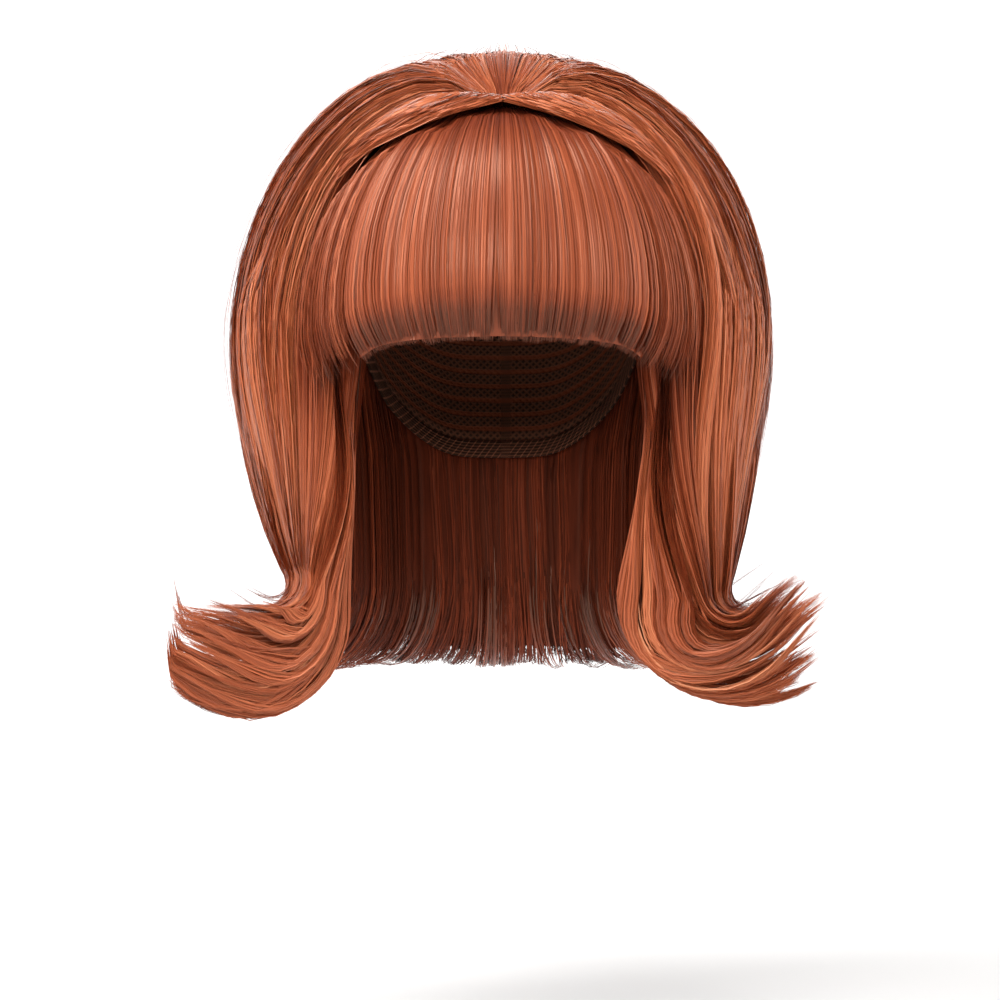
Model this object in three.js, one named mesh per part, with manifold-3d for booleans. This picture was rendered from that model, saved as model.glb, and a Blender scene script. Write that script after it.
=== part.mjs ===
// Beehive wig: crown hair gathered over a cushion of height, a full straight fringe, and
// shoulder-length sides whose ends flip outwards, all sewn on a stretch cap.
// Millimetres, +Z up. The wearer looks along -Y and the viewer's right is +X.
// The origin is the crown of the head, where the inside of the cap bears on it.
import * as THREE from "three";
import { mergeVertices } from "three/addons/utils/BufferGeometryUtils.js";
import Module from "manifold-3d";

const { clamp, degToRad, lerp, radToDeg, smoothstep } = THREE.MathUtils;

// The head that the cap fits.
const headWidth = 150;
const headDepth = 188;
const crownHeight = 85; // crown of the head above its widest level

// The cap, its bound edge and the clearances between neighbouring pieces.
const capWall = 1.6;
const bandHeight = 9;
const bandWall = 2.2;
const seam = 0.3;
const lockGap = 0.8; // between locks side by side
const layerGap = 1.2; // between the top layer and the one beneath it
const facetSag = 2; // how far a flat facet may cut inside the rounded form

// The outline of the dressed hair.
const hairWidth = 254;
const hairFront = 110; // fringe in front of the head's middle
const hairBack = 122; // back hair behind the head's middle
const beehiveRise = 36; // top of the hair above the crown of the head
const widestDrop = 112; // widest level of the hair below the crown of the head
const flipDrop = 222; // level below the crown where the ends start to flip
const flipRadius = 20; // outer bend of the flipped ends
const underRadius = 54; // bend of the hair beneath it
const tipLength = 20; // straight ends past the bend
const drawIn = 2.2; // how late the hanging hair draws in towards the neck, as a power

// The gather, where the crown hair is pinched behind the fringe.
const gatherBack = 37; // in front of the head's middle
const gatherRise = 1;
const gatherSide = 1;
const gatherRadius = 6;
const knotShare = 0.8; // the knot inside it
const pinchPower = 5; // how fast the crown hair rises behind the pinch, as a power

// The fringe.
const fringeDrop = 115; // lower edge below the crown of the head
const fringeFullDrop = 84; // level where the fringe stands out furthest
const fringeThickness = 12;
const fringeEdge = 5; // thickness at its lower edge
const fringeTurnIn = 0.95; // its lower edge, as a share of its fullest reach
const fringePeak = 0.16; // its height at the gather, as a share of beehiveRise

// The locks.
const lockBulge = 2.6; // how far a lock's middle stands out of the form
const fringeBulge = lockBulge / 3;
const overShare = 0.45; // share of the hair's depth that the top layer takes
const tipKeep = 0.48; // share of its thickness that a lock keeps at its tip
const tipWidthKeep = 0.62; // share of its width that a lock keeps at its tip

// Steps along a lock: over the crown, down the side and round the flip. The fringe's hang is short.
const crownSteps = 9;
const hangSteps = 6;
const flipSteps = 8;
const fringeHangSteps = 3;
const bulgeSteps = 4; // steps over which a lock's bulge grows from nothing at its root

// Guide lines from the face to the back of the head. Angles are degrees round the head from the
// face: az at the widest level, azHem where the flip starts, azIn on the inside, and flipAz is the
// way the ends flip. reach is a share of the hair's outline, and peak a share of beehiveRise.
const guides = [
  { az: 40, reach: 0.88, peak: 0.2, azHem: 53, azIn: 62, flipAz: 86 },
  { az: 50, reach: 1, peak: 0.3, azHem: 62, azIn: 74, flipAz: 89 },
  { az: 70, reach: 1, peak: 0.68, azHem: 76, azIn: 82, flipAz: 92 },
  { az: 92, reach: 1, peak: 0.95, azHem: 94, azIn: 95, flipAz: 98 },
  { az: 118, reach: 1, peak: 1.1, azHem: 118, azIn: 118, flipAz: 120 },
  { az: 148, reach: 1, peak: 1.32, azHem: 148, azIn: 148, flipAz: 150 },
  { az: 180, reach: 1, peak: 1.42, azHem: 180, azIn: 180, flipAz: 180 },
];
const templeGuide = 1;

// Where the hair's outside starts its flip and how it bends, a row for each guide line. drop, bend
// and tip are shares of flipDrop, flipRadius and tipLength, out is a share of the hair's outline,
// and turn is in degrees from straight down.
const flips = {
  right: [
    { drop: 1.04, out: 0.9, bend: 0.7, turn: 138, tip: 1.1 },
    { drop: 1.03, out: 0.9, bend: 0.6, turn: 132, tip: 1.2 },
    { drop: 1.02, out: 0.88, bend: 0.6, turn: 128, tip: 1.3 },
    { drop: 1, out: 0.84, bend: 0.7, turn: 120, tip: 1.2 },
    { drop: 1, out: 0.8, bend: 1, turn: 112, tip: 1 },
    { drop: 1, out: 0.8, bend: 1.1, turn: 112, tip: 0.9 },
    { drop: 1, out: 0.8, bend: 1.1, turn: 112, tip: 0.9 },
  ],
  left: [
    { drop: 1, out: 0.86, bend: 0.85, turn: 102, tip: 1.3 },
    { drop: 0.97, out: 0.84, bend: 0.7, turn: 88, tip: 1.5 },
    { drop: 0.96, out: 0.83, bend: 0.65, turn: 84, tip: 1.7 },
    { drop: 0.98, out: 0.82, bend: 0.75, turn: 90, tip: 1.4 },
    { drop: 1, out: 0.8, bend: 1, turn: 106, tip: 1.1 },
    { drop: 1, out: 0.8, bend: 1.1, turn: 112, tip: 0.9 },
    { drop: 1, out: 0.8, bend: 1.1, turn: 112, tip: 0.9 },
  ],
};

// The same for the hair's inside, beneath: wide is a share of the hollow's half width, and bend is
// a share of underRadius.
const underFlips = {
  right: [
    { drop: 1.05, wide: 0.84, bend: 0.84, turn: 140, tip: 1.1 },
    { drop: 1.05, wide: 0.84, bend: 0.96, turn: 118, tip: 0.7 },
    { drop: 1.05, wide: 0.9, bend: 0.98, turn: 112, tip: 0.6 },
    { drop: 1.04, wide: 0.96, bend: 0.98, turn: 108, tip: 0.4 },
    { drop: 1.02, wide: 1, bend: 0.9, turn: 110, tip: 0.4 },
    { drop: 1.02, wide: 1, bend: 0.9, turn: 108, tip: 0.4 },
    { drop: 1.02, wide: 1, bend: 0.9, turn: 108, tip: 0.4 },
  ],
  left: [
    { drop: 1.09, wide: 1.08, bend: 1, turn: 126, tip: 0.2 },
    { drop: 1.08, wide: 1.02, bend: 0.98, turn: 130, tip: 0.2 },
    { drop: 1.06, wide: 1, bend: 0.96, turn: 126, tip: 0.2 },
    { drop: 1.04, wide: 1, bend: 0.94, turn: 118, tip: 0.3 },
    { drop: 1.03, wide: 1, bend: 0.92, turn: 112, tip: 0.4 },
    { drop: 1.02, wide: 1, bend: 0.9, turn: 108, tip: 0.4 },
    { drop: 1.02, wide: 1, bend: 0.9, turn: 108, tip: 0.4 },
  ],
};

// Sections of the hollow below the head's widest level: drop is a share of flipDrop, wide and aft
// are shares of the head's width and of its depth behind.
const hollowSections = [
  { drop: 0.38, wide: 1, aft: 1 },
  { drop: 0.56, wide: 1, aft: 0.96 },
  { drop: 0.74, wide: 0.98, aft: 0.79 },
  { drop: 0.97, wide: 0.96, aft: 0.7 },
  { drop: 1.2, wide: 0.96, aft: 0.68 },
];

// The cap's edge round the head: az in degrees from the face, drop as a share of crownHeight.
const capEdge = [
  { az: 0, drop: 0.62 },
  { az: 40, drop: 0.68 },
  { az: 62, drop: 0.95 },
  { az: 78, drop: 1.3 },
  { az: 92, drop: 1.3 },
  { az: 108, drop: 1.16 },
  { az: 132, drop: 1.55 },
  { az: 156, drop: 1.8 },
  { az: 180, drop: 1.84 },
];
const capSides = 28;
const capRings = 7;

// The fringe's lower edge: az in degrees from the middle, drop as a share of fringeDrop.
const fringeEdges = [
  { az: 0, drop: 1 },
  { az: 22, drop: 1.01 },
  { az: 32, drop: 1.04 },
  { az: 41, drop: 1.14 },
  { az: 50, drop: 1.24 },
];
const fringeHalfAngle = guides[templeGuide].az;
const fringeLocks = 7;

// The locks of the top layer, from the face to the back of the head. from and to are places
// between the guide lines, left and right are how far the lock stands out of the form on each
// side as shares of lockBulge, curl is how many degrees further its tip turns than the guide
// lines do, and reach how long its tip is as a share of theirs.
const topLocks = [
  { lock: "face_lock", from: 0, to: 1, left: 0, right: 0, curl: 4, reach: 1 },
  { lock: "temple_sweep_1", from: 1, to: 1.3, left: 0.3, right: -0.7, curl: 8, reach: 1.1 },
  { lock: "temple_sweep_2", from: 1.3, to: 1.6, left: -0.8, right: 0.9, curl: 0, reach: 0.8 },
  { lock: "temple_sweep_3", from: 1.6, to: 2, left: 0.6, right: -0.5, curl: 10, reach: 1.1 },
  { lock: "crown_lock_1", from: 2, to: 2.5, left: -0.3, right: 0.6, curl: 2, reach: 0.9 },
  { lock: "crown_lock_2", from: 2.5, to: 3, left: 0.4, right: -0.2, curl: 8, reach: 1.2 },
  { lock: "crown_lock_3", from: 3, to: 3.6, left: -0.2, right: 0.3, curl: 0, reach: 0.8 },
  { lock: "crown_lock_4", from: 3.6, to: 4.2, left: 0.3, right: -0.2, curl: 10, reach: 1.3 },
  { lock: "crown_lock_5", from: 4.2, to: 4.8, left: -0.2, right: 0.3, curl: 2, reach: 0.8 },
  { lock: "crown_lock_6", from: 4.8, to: 5.4, left: 0.2, right: -0.2, curl: 10, reach: 1.3 },
];
const backLock = { from: 5.4, to: 6.6, curl: 2, reach: 0.9 };

// The layer beneath it, in wider locks.
const underLocks = [
  { lock: "under_face_lock", from: 0, to: 1 },
  { lock: "under_lock_1", from: 1, to: 2 },
  { lock: "under_lock_2", from: 2, to: 3 },
  { lock: "under_lock_3", from: 3, to: 4 },
  { lock: "under_lock_4", from: 4, to: 5 },
];
const underBackLock = { from: 5, to: 7 };
const lockCells = 2; // cells across a lock, and twice as many across the two at the back
const faceStart = 7; // step where the hair at the face starts, under the fringe

// The fibre, and the lace and elastic of the cap.
const fibre = { color: "#b55f3f", roughness: 0.45 };
const shadedFibre = { color: "#a5512f", roughness: 0.5 };
const lace = { color: "#4a2a1d", roughness: 0.85 };
const elastic = { color: "#402318", roughness: 0.9 };

const headMiddle = new THREE.Vector3(0, 0, -crownHeight);
const gather = new THREE.Vector3(gatherSide, -gatherBack, gatherRise);
const hairMiddle = (hairBack - hairFront) / 2; // the hair's middle behind the head's
const hairDepth = hairBack + hairFront;
const hairInside = capWall + seam + facetSag; // the hair's inside, off the head
const sides = { left: -1, right: 1 };

// A column of a table at a place between its rows, on a smooth curve.
function smoothColumn(rows, place, column) {
  const row = clamp(Math.floor(place), 0, rows.length - 2);
  const at = (i) => rows[clamp(i, 0, rows.length - 1)][column];
  const t = place - row;
  const before = (at(row + 1) - at(row - 1)) / 2;
  const after = (at(row + 2) - at(row)) / 2;
  const step = at(row + 1) - at(row);
  const curve = before + t * (3 * step - 2 * before - after + t * (before + after - 2 * step));
  return at(row) + t * curve;
}

// A column of a table at a value of its key column.
function columnAt(rows, key, value, column) {
  const last = rows.length - 2;
  const found = rows.findIndex((row) => row[key] > value) - 1;
  const row = found === -2 ? last : clamp(found, 0, last);
  const t = clamp((value - rows[row][key]) / (rows[row + 1][key] - rows[row][key]), 0, 1);
  return smoothColumn(rows, row + t, column);
}

// The head's form grown by offset, at az degrees from the face and a level z.
function headPoint(az, z, offset) {
  const a = degToRad(az);
  const halfWidth = headWidth / 2 + offset;
  const halfDepth = headDepth / 2 + offset;
  const level = (z + crownHeight) / (crownHeight + offset);
  if (level > 0) {
    const r = Math.sqrt(Math.max(0, 1 - level * level));
    return new THREE.Vector3(halfWidth * r * Math.sin(a), -halfDepth * r * Math.cos(a), z);
  }
  const drop = -z / flipDrop;
  const wide = columnAt(hollowSections, "drop", drop, "wide");
  const aft = Math.cos(a) < 0 ? columnAt(hollowSections, "drop", drop, "aft") : 1;
  return new THREE.Vector3(halfWidth * wide * Math.sin(a), -halfDepth * aft * Math.cos(a), z);
}

// Degrees round the head of a point, from the face, positive to the viewer's right.
function degreesRound(point) {
  return radToDeg(Math.atan2(point.x / headWidth, -point.y / headDepth));
}

// The place on the head's form grown by offset, straight inwards from a point of the hair.
function insideOf(point, offset) {
  if (point.z < headMiddle.z) return headPoint(degreesRound(point), point.z, offset);
  const ray = point.clone().sub(headMiddle);
  const size = Math.hypot(
    ray.x / (headWidth / 2 + offset),
    ray.y / (headDepth / 2 + offset),
    ray.z / (crownHeight + offset),
  );
  return headMiddle.clone().addScaledVector(ray, 1 / size);
}

// The hair's outline at az degrees from the face on one side of the head, and a level z.
function outlinePoint(side, az, reach, z) {
  const a = degToRad(az);
  return new THREE.Vector3(
    (side * hairWidth * reach * Math.sin(a)) / 2,
    hairMiddle - (hairDepth * reach * Math.cos(a)) / 2,
    z,
  );
}

// The line over the crown from the gather to a point at its foot.
function crownLine(foot, peak) {
  const away = foot.clone().sub(gather).setZ(0).normalize();
  const root = gather.clone().addScaledVector(away, gatherRadius);
  const rise = peak * beehiveRise - foot.z;
  const pinch = peak * beehiveRise - gatherRise;
  return Array.from({ length: crownSteps + 1 }, (_, i) => {
    const angle = (i / crownSteps) * (Math.PI / 2);
    const out = Math.sin(angle);
    const z = foot.z + rise * Math.cos(angle) - pinch * (1 - out) ** pinchPower;
    return root.clone().lerp(foot, out).setZ(z);
  });
}

// The line round a flip: it goes on from a heading, bends as far as turn, and ends straight.
// Headings are radians from straight down towards flipAz.
function flipLine(start, heading, side, flipAz, radius, turn, tip) {
  const a = degToRad(flipAz);
  const out = new THREE.Vector3(side * Math.sin(a), -Math.cos(a), 0);
  const bends = flipSteps - 1;
  const arc = (degToRad(turn) - heading) / bends;
  const point = start.clone();
  return Array.from({ length: flipSteps }, (_, i) => {
    const angle = heading + arc * Math.min(i + 0.5, bends);
    const length = i < bends ? radius * arc : tip;
    point.addScaledVector(out, Math.sin(angle) * length);
    point.z -= Math.cos(angle) * length;
    return point.clone();
  });
}

// The outside of the hair at a place between the guide lines, from the gather to the tip.
function outerLine(name, place, curl, reach) {
  const side = sides[name];
  const guide = (column) => smoothColumn(guides, place, column);
  const flip = (column) => smoothColumn(flips[name], place, column);
  const foot = outlinePoint(side, guide("az"), guide("reach"), -widestDrop);
  const hem = outlinePoint(side, guide("azHem"), flip("out"), -flip("drop") * flipDrop);
  const line = crownLine(foot, guide("peak"));
  for (let i = 1; i <= hangSteps; i++) {
    const t = i / hangSteps;
    line.push(foot.clone().lerp(hem, t ** drawIn).setZ(lerp(foot.z, hem.z, t)));
  }
  const drawn = drawIn * Math.max(0, Math.hypot(foot.x, foot.y) - Math.hypot(hem.x, hem.y));
  const heading = -Math.atan2(drawn, foot.z - hem.z);
  const radius = flip("bend") * flipRadius;
  const tip = flip("tip") * reach * tipLength;
  line.push(...flipLine(hem, heading, side, guide("flipAz"), radius, flip("turn") + curl, tip));
  return line;
}

// The inside of the hair there: it follows the head, then the hollow for the neck, to the tip.
function innerLine(name, place, outer) {
  const side = sides[name];
  const guide = (column) => smoothColumn(guides, place, column);
  const flip = (column) => smoothColumn(underFlips[name], place, column);
  const line = outer.slice(0, crownSteps + 1).map((p) => insideOf(p, hairInside));
  const foot = line[crownSteps];
  for (let i = 1; i <= hangSteps; i++) {
    const t = i / hangSteps;
    const az = lerp(degreesRound(foot), side * guide("azIn"), smoothstep(t, 0, 0.5));
    const point = headPoint(az, lerp(foot.z, -flip("drop") * flipDrop, t), hairInside);
    point.x *= lerp(1, flip("wide"), smoothstep(t, 0.3, 1));
    line.push(point);
  }
  const radius = flip("bend") * underRadius;
  const hem = line[line.length - 1];
  line.push(...flipLine(hem, 0, side, guide("flipAz"), radius, flip("turn"), flip("tip") * tipLength));
  return line;
}

// The outside and inside of the hair at a place between the guide lines. curl and reach change
// the tip. Places past the last guide line are on the other side of the head.
function hairLines(name, place, curl = 0, reach = 1) {
  const last = guides.length - 1;
  if (place > last) return hairLines(name === "left" ? "right" : "left", 2 * last - place, curl, reach);
  const outer = outerLine(name, place, curl, reach);
  return { outer, inner: innerLine(name, place, outer) };
}

// The outside and inside of the fringe, az degrees from its middle.
function fringeLines(az) {
  const side = Math.sign(az) || 1;
  const angle = Math.abs(az);
  const full = lerp(fringeFullDrop, widestDrop, (angle / fringeHalfAngle) ** 2);
  const low = columnAt(fringeEdges, "az", angle, "drop") * fringeDrop;
  const outer = crownLine(outlinePoint(side, angle, 1, -full), fringePeak);
  for (let i = 1; i <= fringeHangSteps; i++) {
    const t = i / fringeHangSteps;
    const turned = angle * lerp(1, fringeTurnIn, t);
    outer.push(outlinePoint(side, turned, lerp(1, fringeTurnIn, t * t), -lerp(full, low, t)));
  }
  const inner = outer.map((point, i) => {
    const bed = insideOf(point, hairInside);
    const depth = point.distanceTo(bed);
    const t = i / (outer.length - 1);
    const sheet = Math.min(depth, lerp(fringeThickness, fringeEdge, t * t));
    return point.clone().lerp(bed, lerp(depth, sheet, smoothstep(t, 0.35, 0.7)) / depth);
  });
  return { outer, inner };
}

// A closed geometry of points and triangles, with shared corners and no triangle of no area.
function closedGeometry(points, triangles) {
  const bare = new THREE.BufferGeometry();
  bare.setAttribute("position", new THREE.Float32BufferAttribute(points, 3));
  bare.setIndex(triangles);
  const merged = mergeVertices(bare, 1e-3);
  const index = merged.index.array;
  const kept = [];
  for (let i = 0; i < index.length; i += 3) {
    const corners = index.subarray(i, i + 3);
    if (new Set(corners).size === 3) kept.push(...corners);
  }
  merged.setIndex(kept);
  merged.computeVertexNormals();
  return merged;
}

// A closed geometry from a grid of points, grid[across][along][outside or inside].
function gridGeometry(grid) {
  const across = grid.length - 1;
  const along = grid[0].length - 1;
  const triangles = [];
  const at = (i, j, k) => (i * (along + 1) + j) * 2 + k;
  const quad = (a, b, c, d) => triangles.push(a, b, c, a, c, d);
  for (let i = 0; i < across; i++) {
    for (let j = 0; j < along; j++) {
      quad(at(i, j, 0), at(i, j + 1, 0), at(i + 1, j + 1, 0), at(i + 1, j, 0));
      quad(at(i, j, 1), at(i + 1, j, 1), at(i + 1, j + 1, 1), at(i, j + 1, 1));
    }
    quad(at(i, 0, 0), at(i + 1, 0, 0), at(i + 1, 0, 1), at(i, 0, 1));
    quad(at(i, along, 0), at(i, along, 1), at(i + 1, along, 1), at(i + 1, along, 0));
  }
  for (let j = 0; j < along; j++) {
    quad(at(0, j, 0), at(0, j, 1), at(0, j + 1, 1), at(0, j + 1, 0));
    quad(at(across, j, 0), at(across, j + 1, 0), at(across, j + 1, 1), at(across, j, 1));
  }
  return closedGeometry(grid.flat(2).flatMap((p) => [p.x, p.y, p.z]), triangles);
}

// How far a step is round the flip: 0 before it starts and 1 at the tip.
function tipShare(step, count) {
  return clamp((step + 1 - count + flipSteps) / flipSteps, 0, 1);
}

// The ends of a row of points moved towards each other by inset.
function narrowRow(row, inset) {
  const first = row[0].clone();
  const last = row[row.length - 1].clone();
  const share = Math.min(0.4, inset / first.distanceTo(last));
  row[0].lerp(last, share);
  row[row.length - 1].lerp(first, share);
}

// How far the hair stands out of the form at a cell's edge and a step of a lock.
function riseAt(lift, bulge, cell, cells, step) {
  return (lift + bulge * Math.sin((Math.PI * cell) / cells)) * Math.min(1, step / bulgeSteps);
}

// One lock of a layer between two shares of the hair's depth. Its edges are drawn in by half the
// gap between locks, and its tip is thinner and narrower.
function hairLock(name, row, top, bottom, start, lift, bulge, cells) {
  const lines = Array.from({ length: cells + 1 }, (_, i) =>
    hairLines(name, lerp(row.from, row.to, i / cells), row.curl, row.reach),
  );
  const count = lines[0].outer.length;
  const middle = (top + bottom) / 2;
  const grid = lines.map(({ outer, inner }, i) =>
    outer.slice(start).map((o, k) => {
      const step = k + start;
      const n = inner[step];
      const gap = layerGap / 2 / o.distanceTo(n);
      const keep = lerp(1, tipKeep, tipShare(step, count));
      const high = lerp(middle, top > 0 ? top + gap : top, keep);
      const low = lerp(middle, bottom < 1 ? bottom - gap : bottom, keep);
      const outward = o.clone().sub(n).normalize();
      const outside = o.clone().lerp(n, high);
      outside.addScaledVector(outward, riseAt(lift, bulge, i, cells, step));
      return [outside, o.clone().lerp(n, low)];
    }),
  );
  for (let step = start; step < count; step++) {
    const keep = lerp(1, tipWidthKeep, tipShare(step, count) ** 2);
    for (const k of [0, 1]) {
      const across = grid.map((line) => line[step - start][k]);
      const mid = across[0].clone().lerp(across[cells], 0.5);
      across.forEach((point) => point.lerp(mid, 1 - keep));
      narrowRow(across, lockGap / 2);
    }
  }
  return gridGeometry(sides[name] > 0 ? grid : grid.reverse());
}

// One lock of the fringe between two angles, grown by grow on every side but its root.
function fringeLock(fromAz, toAz, grow) {
  const cells = lockCells;
  const grid = Array.from({ length: cells + 1 }, (_, i) => {
    const { outer, inner } = fringeLines(lerp(fromAz, toAz, i / cells));
    return outer.map((o, step) => {
      const n = inner[step];
      const outward = o.clone().sub(n).normalize();
      const rise = riseAt(0, fringeBulge, i, cells, step);
      return [
        o.clone().addScaledVector(outward, rise + grow),
        n.clone().addScaledVector(outward, -grow),
      ];
    });
  });
  for (const line of grid) {
    for (const k of [0, 1]) {
      const [before, end] = line.slice(-2).map((pair) => pair[k]);
      end.addScaledVector(end.clone().sub(before).normalize(), grow);
    }
  }
  grid[0].forEach((_, step) => {
    for (const k of [0, 1]) narrowRow(grid.map((line) => line[step][k]), seam / 2 - grow);
  });
  return gridGeometry(grid);
}

// A geometry less others, with only its largest body kept.
const wasm = await Module();
wasm.setup();
function solidOf(geometry) {
  return new wasm.Manifold(
    new wasm.Mesh({
      numProp: 3,
      vertProperties: geometry.attributes.position.array,
      triVerts: new Uint32Array(geometry.index.array),
    }),
  );
}

function cutAway(geometry, cutters) {
  const cut = cutters.reduce((kept, cutter) => kept.subtract(solidOf(cutter)), solidOf(geometry));
  const bodies = cut.decompose().sort((a, b) => b.volume() - a.volume());
  const mesh = bodies[0].getMesh();
  return closedGeometry(Array.from(mesh.vertProperties), Array.from(mesh.triVerts));
}

// A point on a ring of the cap: place is 0 at the crown, 1 at the head's widest level.
function capPoint(az, place, offset) {
  if (place > 1) return headPoint(az, -crownHeight * place, offset);
  const a = degToRad(az);
  const down = place * (Math.PI / 2);
  return new THREE.Vector3(
    (headWidth / 2 + offset) * Math.sin(down) * Math.sin(a),
    -(headDepth / 2 + offset) * Math.sin(down) * Math.cos(a),
    headMiddle.z + (crownHeight + offset) * Math.cos(down),
  );
}

// The cap's edge at an angle, as a place down the head.
function edgePlace(az) {
  const drop = columnAt(capEdge, "az", Math.abs(az), "drop");
  return drop > 1 ? drop : Math.acos(1 - drop) / (Math.PI / 2);
}

// A ring of the cap round the head: placeAt gives the place at an angle.
function capRing(placeAt, offset) {
  return Array.from({ length: capSides }, (_, i) => {
    const az = (i / capSides) * 360 - 180;
    return capPoint(az, placeAt(az), offset);
  });
}

// A closed geometry through rings of points, each joined to the next and the last to the first.
function ringGeometry(rings) {
  const triangles = [];
  rings.forEach((_, r) => {
    const next = (r + 1) % rings.length;
    for (let i = 0; i < capSides; i++) {
      const j = (i + 1) % capSides;
      const [a, b] = [r * capSides + i, r * capSides + j];
      const [c, d] = [next * capSides + j, next * capSides + i];
      triangles.push(a, c, b, a, d, c);
    }
  });
  return closedGeometry(rings.flat().flatMap((p) => [p.x, p.y, p.z]), triangles);
}

// The stretch cap: its outer rings from the crown down, then its inner rings back up.
function stretchCap() {
  const shares = Array.from({ length: capRings + 1 }, (_, r) => r / capRings);
  const rings = (offset) => shares.map((share) => capRing((az) => edgePlace(az) * share, offset));
  return ringGeometry([...rings(capWall), ...rings(0).reverse()]);
}

// The elastic band sewn round the cap's edge.
function edgeBand() {
  const top = seam / crownHeight;
  const low = (seam + bandHeight) / crownHeight;
  const ring = (step, offset) => capRing((az) => edgePlace(az) + step, offset);
  const back = capWall - bandWall;
  return ringGeometry([ring(top, capWall), ring(low, capWall), ring(low, back), ring(top, back)]);
}

// The pinched roots at the gather, standing on the cap. Shares of its radius and height.
function gatherKnot() {
  const foot = insideOf(gather, hairInside);
  const up = gather.clone().sub(foot);
  const profile = [
    [0, 0],
    [0.9, 0],
    [1, 0.5],
    [0.8, 0.85],
    [0.35, 1],
    [0, 0.96],
  ];
  const radius = gatherRadius * knotShare;
  const points = profile.map(([r, h]) => new THREE.Vector2(r * radius, h * up.length()));
  const knot = new THREE.LatheGeometry(points, 14);
  const axis = new THREE.Vector3(0, 1, 0);
  knot.applyQuaternion(new THREE.Quaternion().setFromUnitVectors(axis, up.clone().normalize()));
  knot.translate(foot.x, foot.y, foot.z);
  return closedGeometry(Array.from(knot.attributes.position.array), Array.from(knot.index.array));
}

const wig = new THREE.Group();
wig.name = "beehive_wig";

function addPiece(name, geometry, look) {
  const piece = new THREE.Mesh(geometry, new THREE.MeshStandardMaterial({ ...look, metalness: 0 }));
  piece.name = name;
  wig.add(piece);
}

addPiece("stretch_cap", stretchCap(), lace);
addPiece("cap_edge_band", edgeBand(), elastic);
addPiece("gather_knot", gatherKnot(), fibre);

// The fringe's locks from the viewer's left, and the same grown to cut the hair under its ends.
const fringeStep = (2 * fringeHalfAngle) / fringeLocks;
const fringeRoom = [];
for (let i = 0; i < fringeLocks; i++) {
  const from = -fringeHalfAngle + i * fringeStep;
  addPiece(`fringe_lock_${i + 1}`, fringeLock(from, from + fringeStep, 0), fibre);
  fringeRoom.push(fringeLock(from, from + fringeStep, seam));
}

for (const name of Object.keys(sides)) {
  const room = name === "left" ? fringeRoom.slice(0, 2) : fringeRoom.slice(-2);
  const addLock = (row, top, bottom, lift, bulge, look) => {
    const start = row.from < templeGuide ? faceStart : 0;
    const whole = hairLock(name, row, top, bottom, start, lift, bulge, lockCells);
    addPiece(`${name}_${row.lock}`, start > 0 ? cutAway(whole, room) : whole, look);
  };
  for (const row of topLocks) addLock(row, 0, overShare, row[name] * lockBulge, lockBulge, fibre);
  for (const row of underLocks) addLock(row, overShare, 1, 0, 0, shadedFibre);
}

const backCells = lockCells * 2;
const backGeometry = hairLock("right", backLock, 0, overShare, 0, 0, lockBulge / 2, backCells);
const underBackGeometry = hairLock("right", underBackLock, overShare, 1, 0, 0, 0, backCells);
addPiece("back_lock", backGeometry, fibre);
addPiece("under_back_lock", underBackGeometry, shadedFibre);

export default wig;
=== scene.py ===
import bpy
import numpy as np
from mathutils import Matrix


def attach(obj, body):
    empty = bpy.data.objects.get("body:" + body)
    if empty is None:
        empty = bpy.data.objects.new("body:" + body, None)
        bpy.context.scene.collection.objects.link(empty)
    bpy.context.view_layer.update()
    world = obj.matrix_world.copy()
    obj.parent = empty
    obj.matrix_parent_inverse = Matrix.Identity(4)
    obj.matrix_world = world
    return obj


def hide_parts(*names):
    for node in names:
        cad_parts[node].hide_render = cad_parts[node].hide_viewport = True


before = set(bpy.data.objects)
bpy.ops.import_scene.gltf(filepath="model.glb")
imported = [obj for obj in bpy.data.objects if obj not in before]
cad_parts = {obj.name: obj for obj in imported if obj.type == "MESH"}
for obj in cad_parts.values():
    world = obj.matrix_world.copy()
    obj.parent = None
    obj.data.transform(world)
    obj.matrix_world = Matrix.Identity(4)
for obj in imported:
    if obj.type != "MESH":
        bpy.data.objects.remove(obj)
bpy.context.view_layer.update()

# The stretch cap
# A dome of dark stretch lace knitted in a small open net, with rows of machine-sewn weft from
# which the hair hangs. It is cut small and worn stretched, so it has no folds.
HEAD_WIDTH = 150
HEAD_DEPTH = 188
CROWN_HEIGHT = 85  # the crown of the head above its widest level
FLIP_DROP = 222  # the level below the crown where the ends start to flip
CAP_WALL = 1.6
WEFT_PITCH = 8
WEFT_RISE = 0.35  # how far the rows of weft stand out of the lace
NET_PITCH = 2.6  # the knitted holes are about 1 mm; they are drawn coarser, so that they show


def table(names, *rows):
    """A short table, with its columns named in one string."""
    return dict(zip(names.split(), np.array(rows, float).T))


CAP_EDGE = table(
    "az drop",
    (0, 0.62),
    (40, 0.68),
    (62, 0.95),
    (78, 1.3),
    (92, 1.3),
    (108, 1.16),
    (132, 1.55),
    (156, 1.8),
    (180, 1.84),
)

# Sections of the hollow below the head: shares of its width and of its depth behind.
HOLLOW = table(
    "drop wide aft",
    (0.38, 1, 1),
    (0.56, 1, 0.96),
    (0.74, 0.98, 0.79),
    (0.97, 0.96, 0.7),
    (1.2, 0.96, 0.68),
)


def smooth_column(rows, place, column):
    """A column of a table at places between its rows, on a smooth curve."""
    values = rows[column]
    last = len(values) - 1
    place = np.asarray(place, float)
    row = np.clip(np.floor(place).astype(int), 0, last - 1)
    t = place - row
    here = values[row]
    step = values[row + 1] - here
    before = (values[row + 1] - values[np.maximum(row - 1, 0)]) / 2
    after = (values[np.minimum(row + 2, last)] - here) / 2
    curve = before + t * (3 * step - 2 * before - after + t * (before + after - 2 * step))
    return here + t * curve


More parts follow.
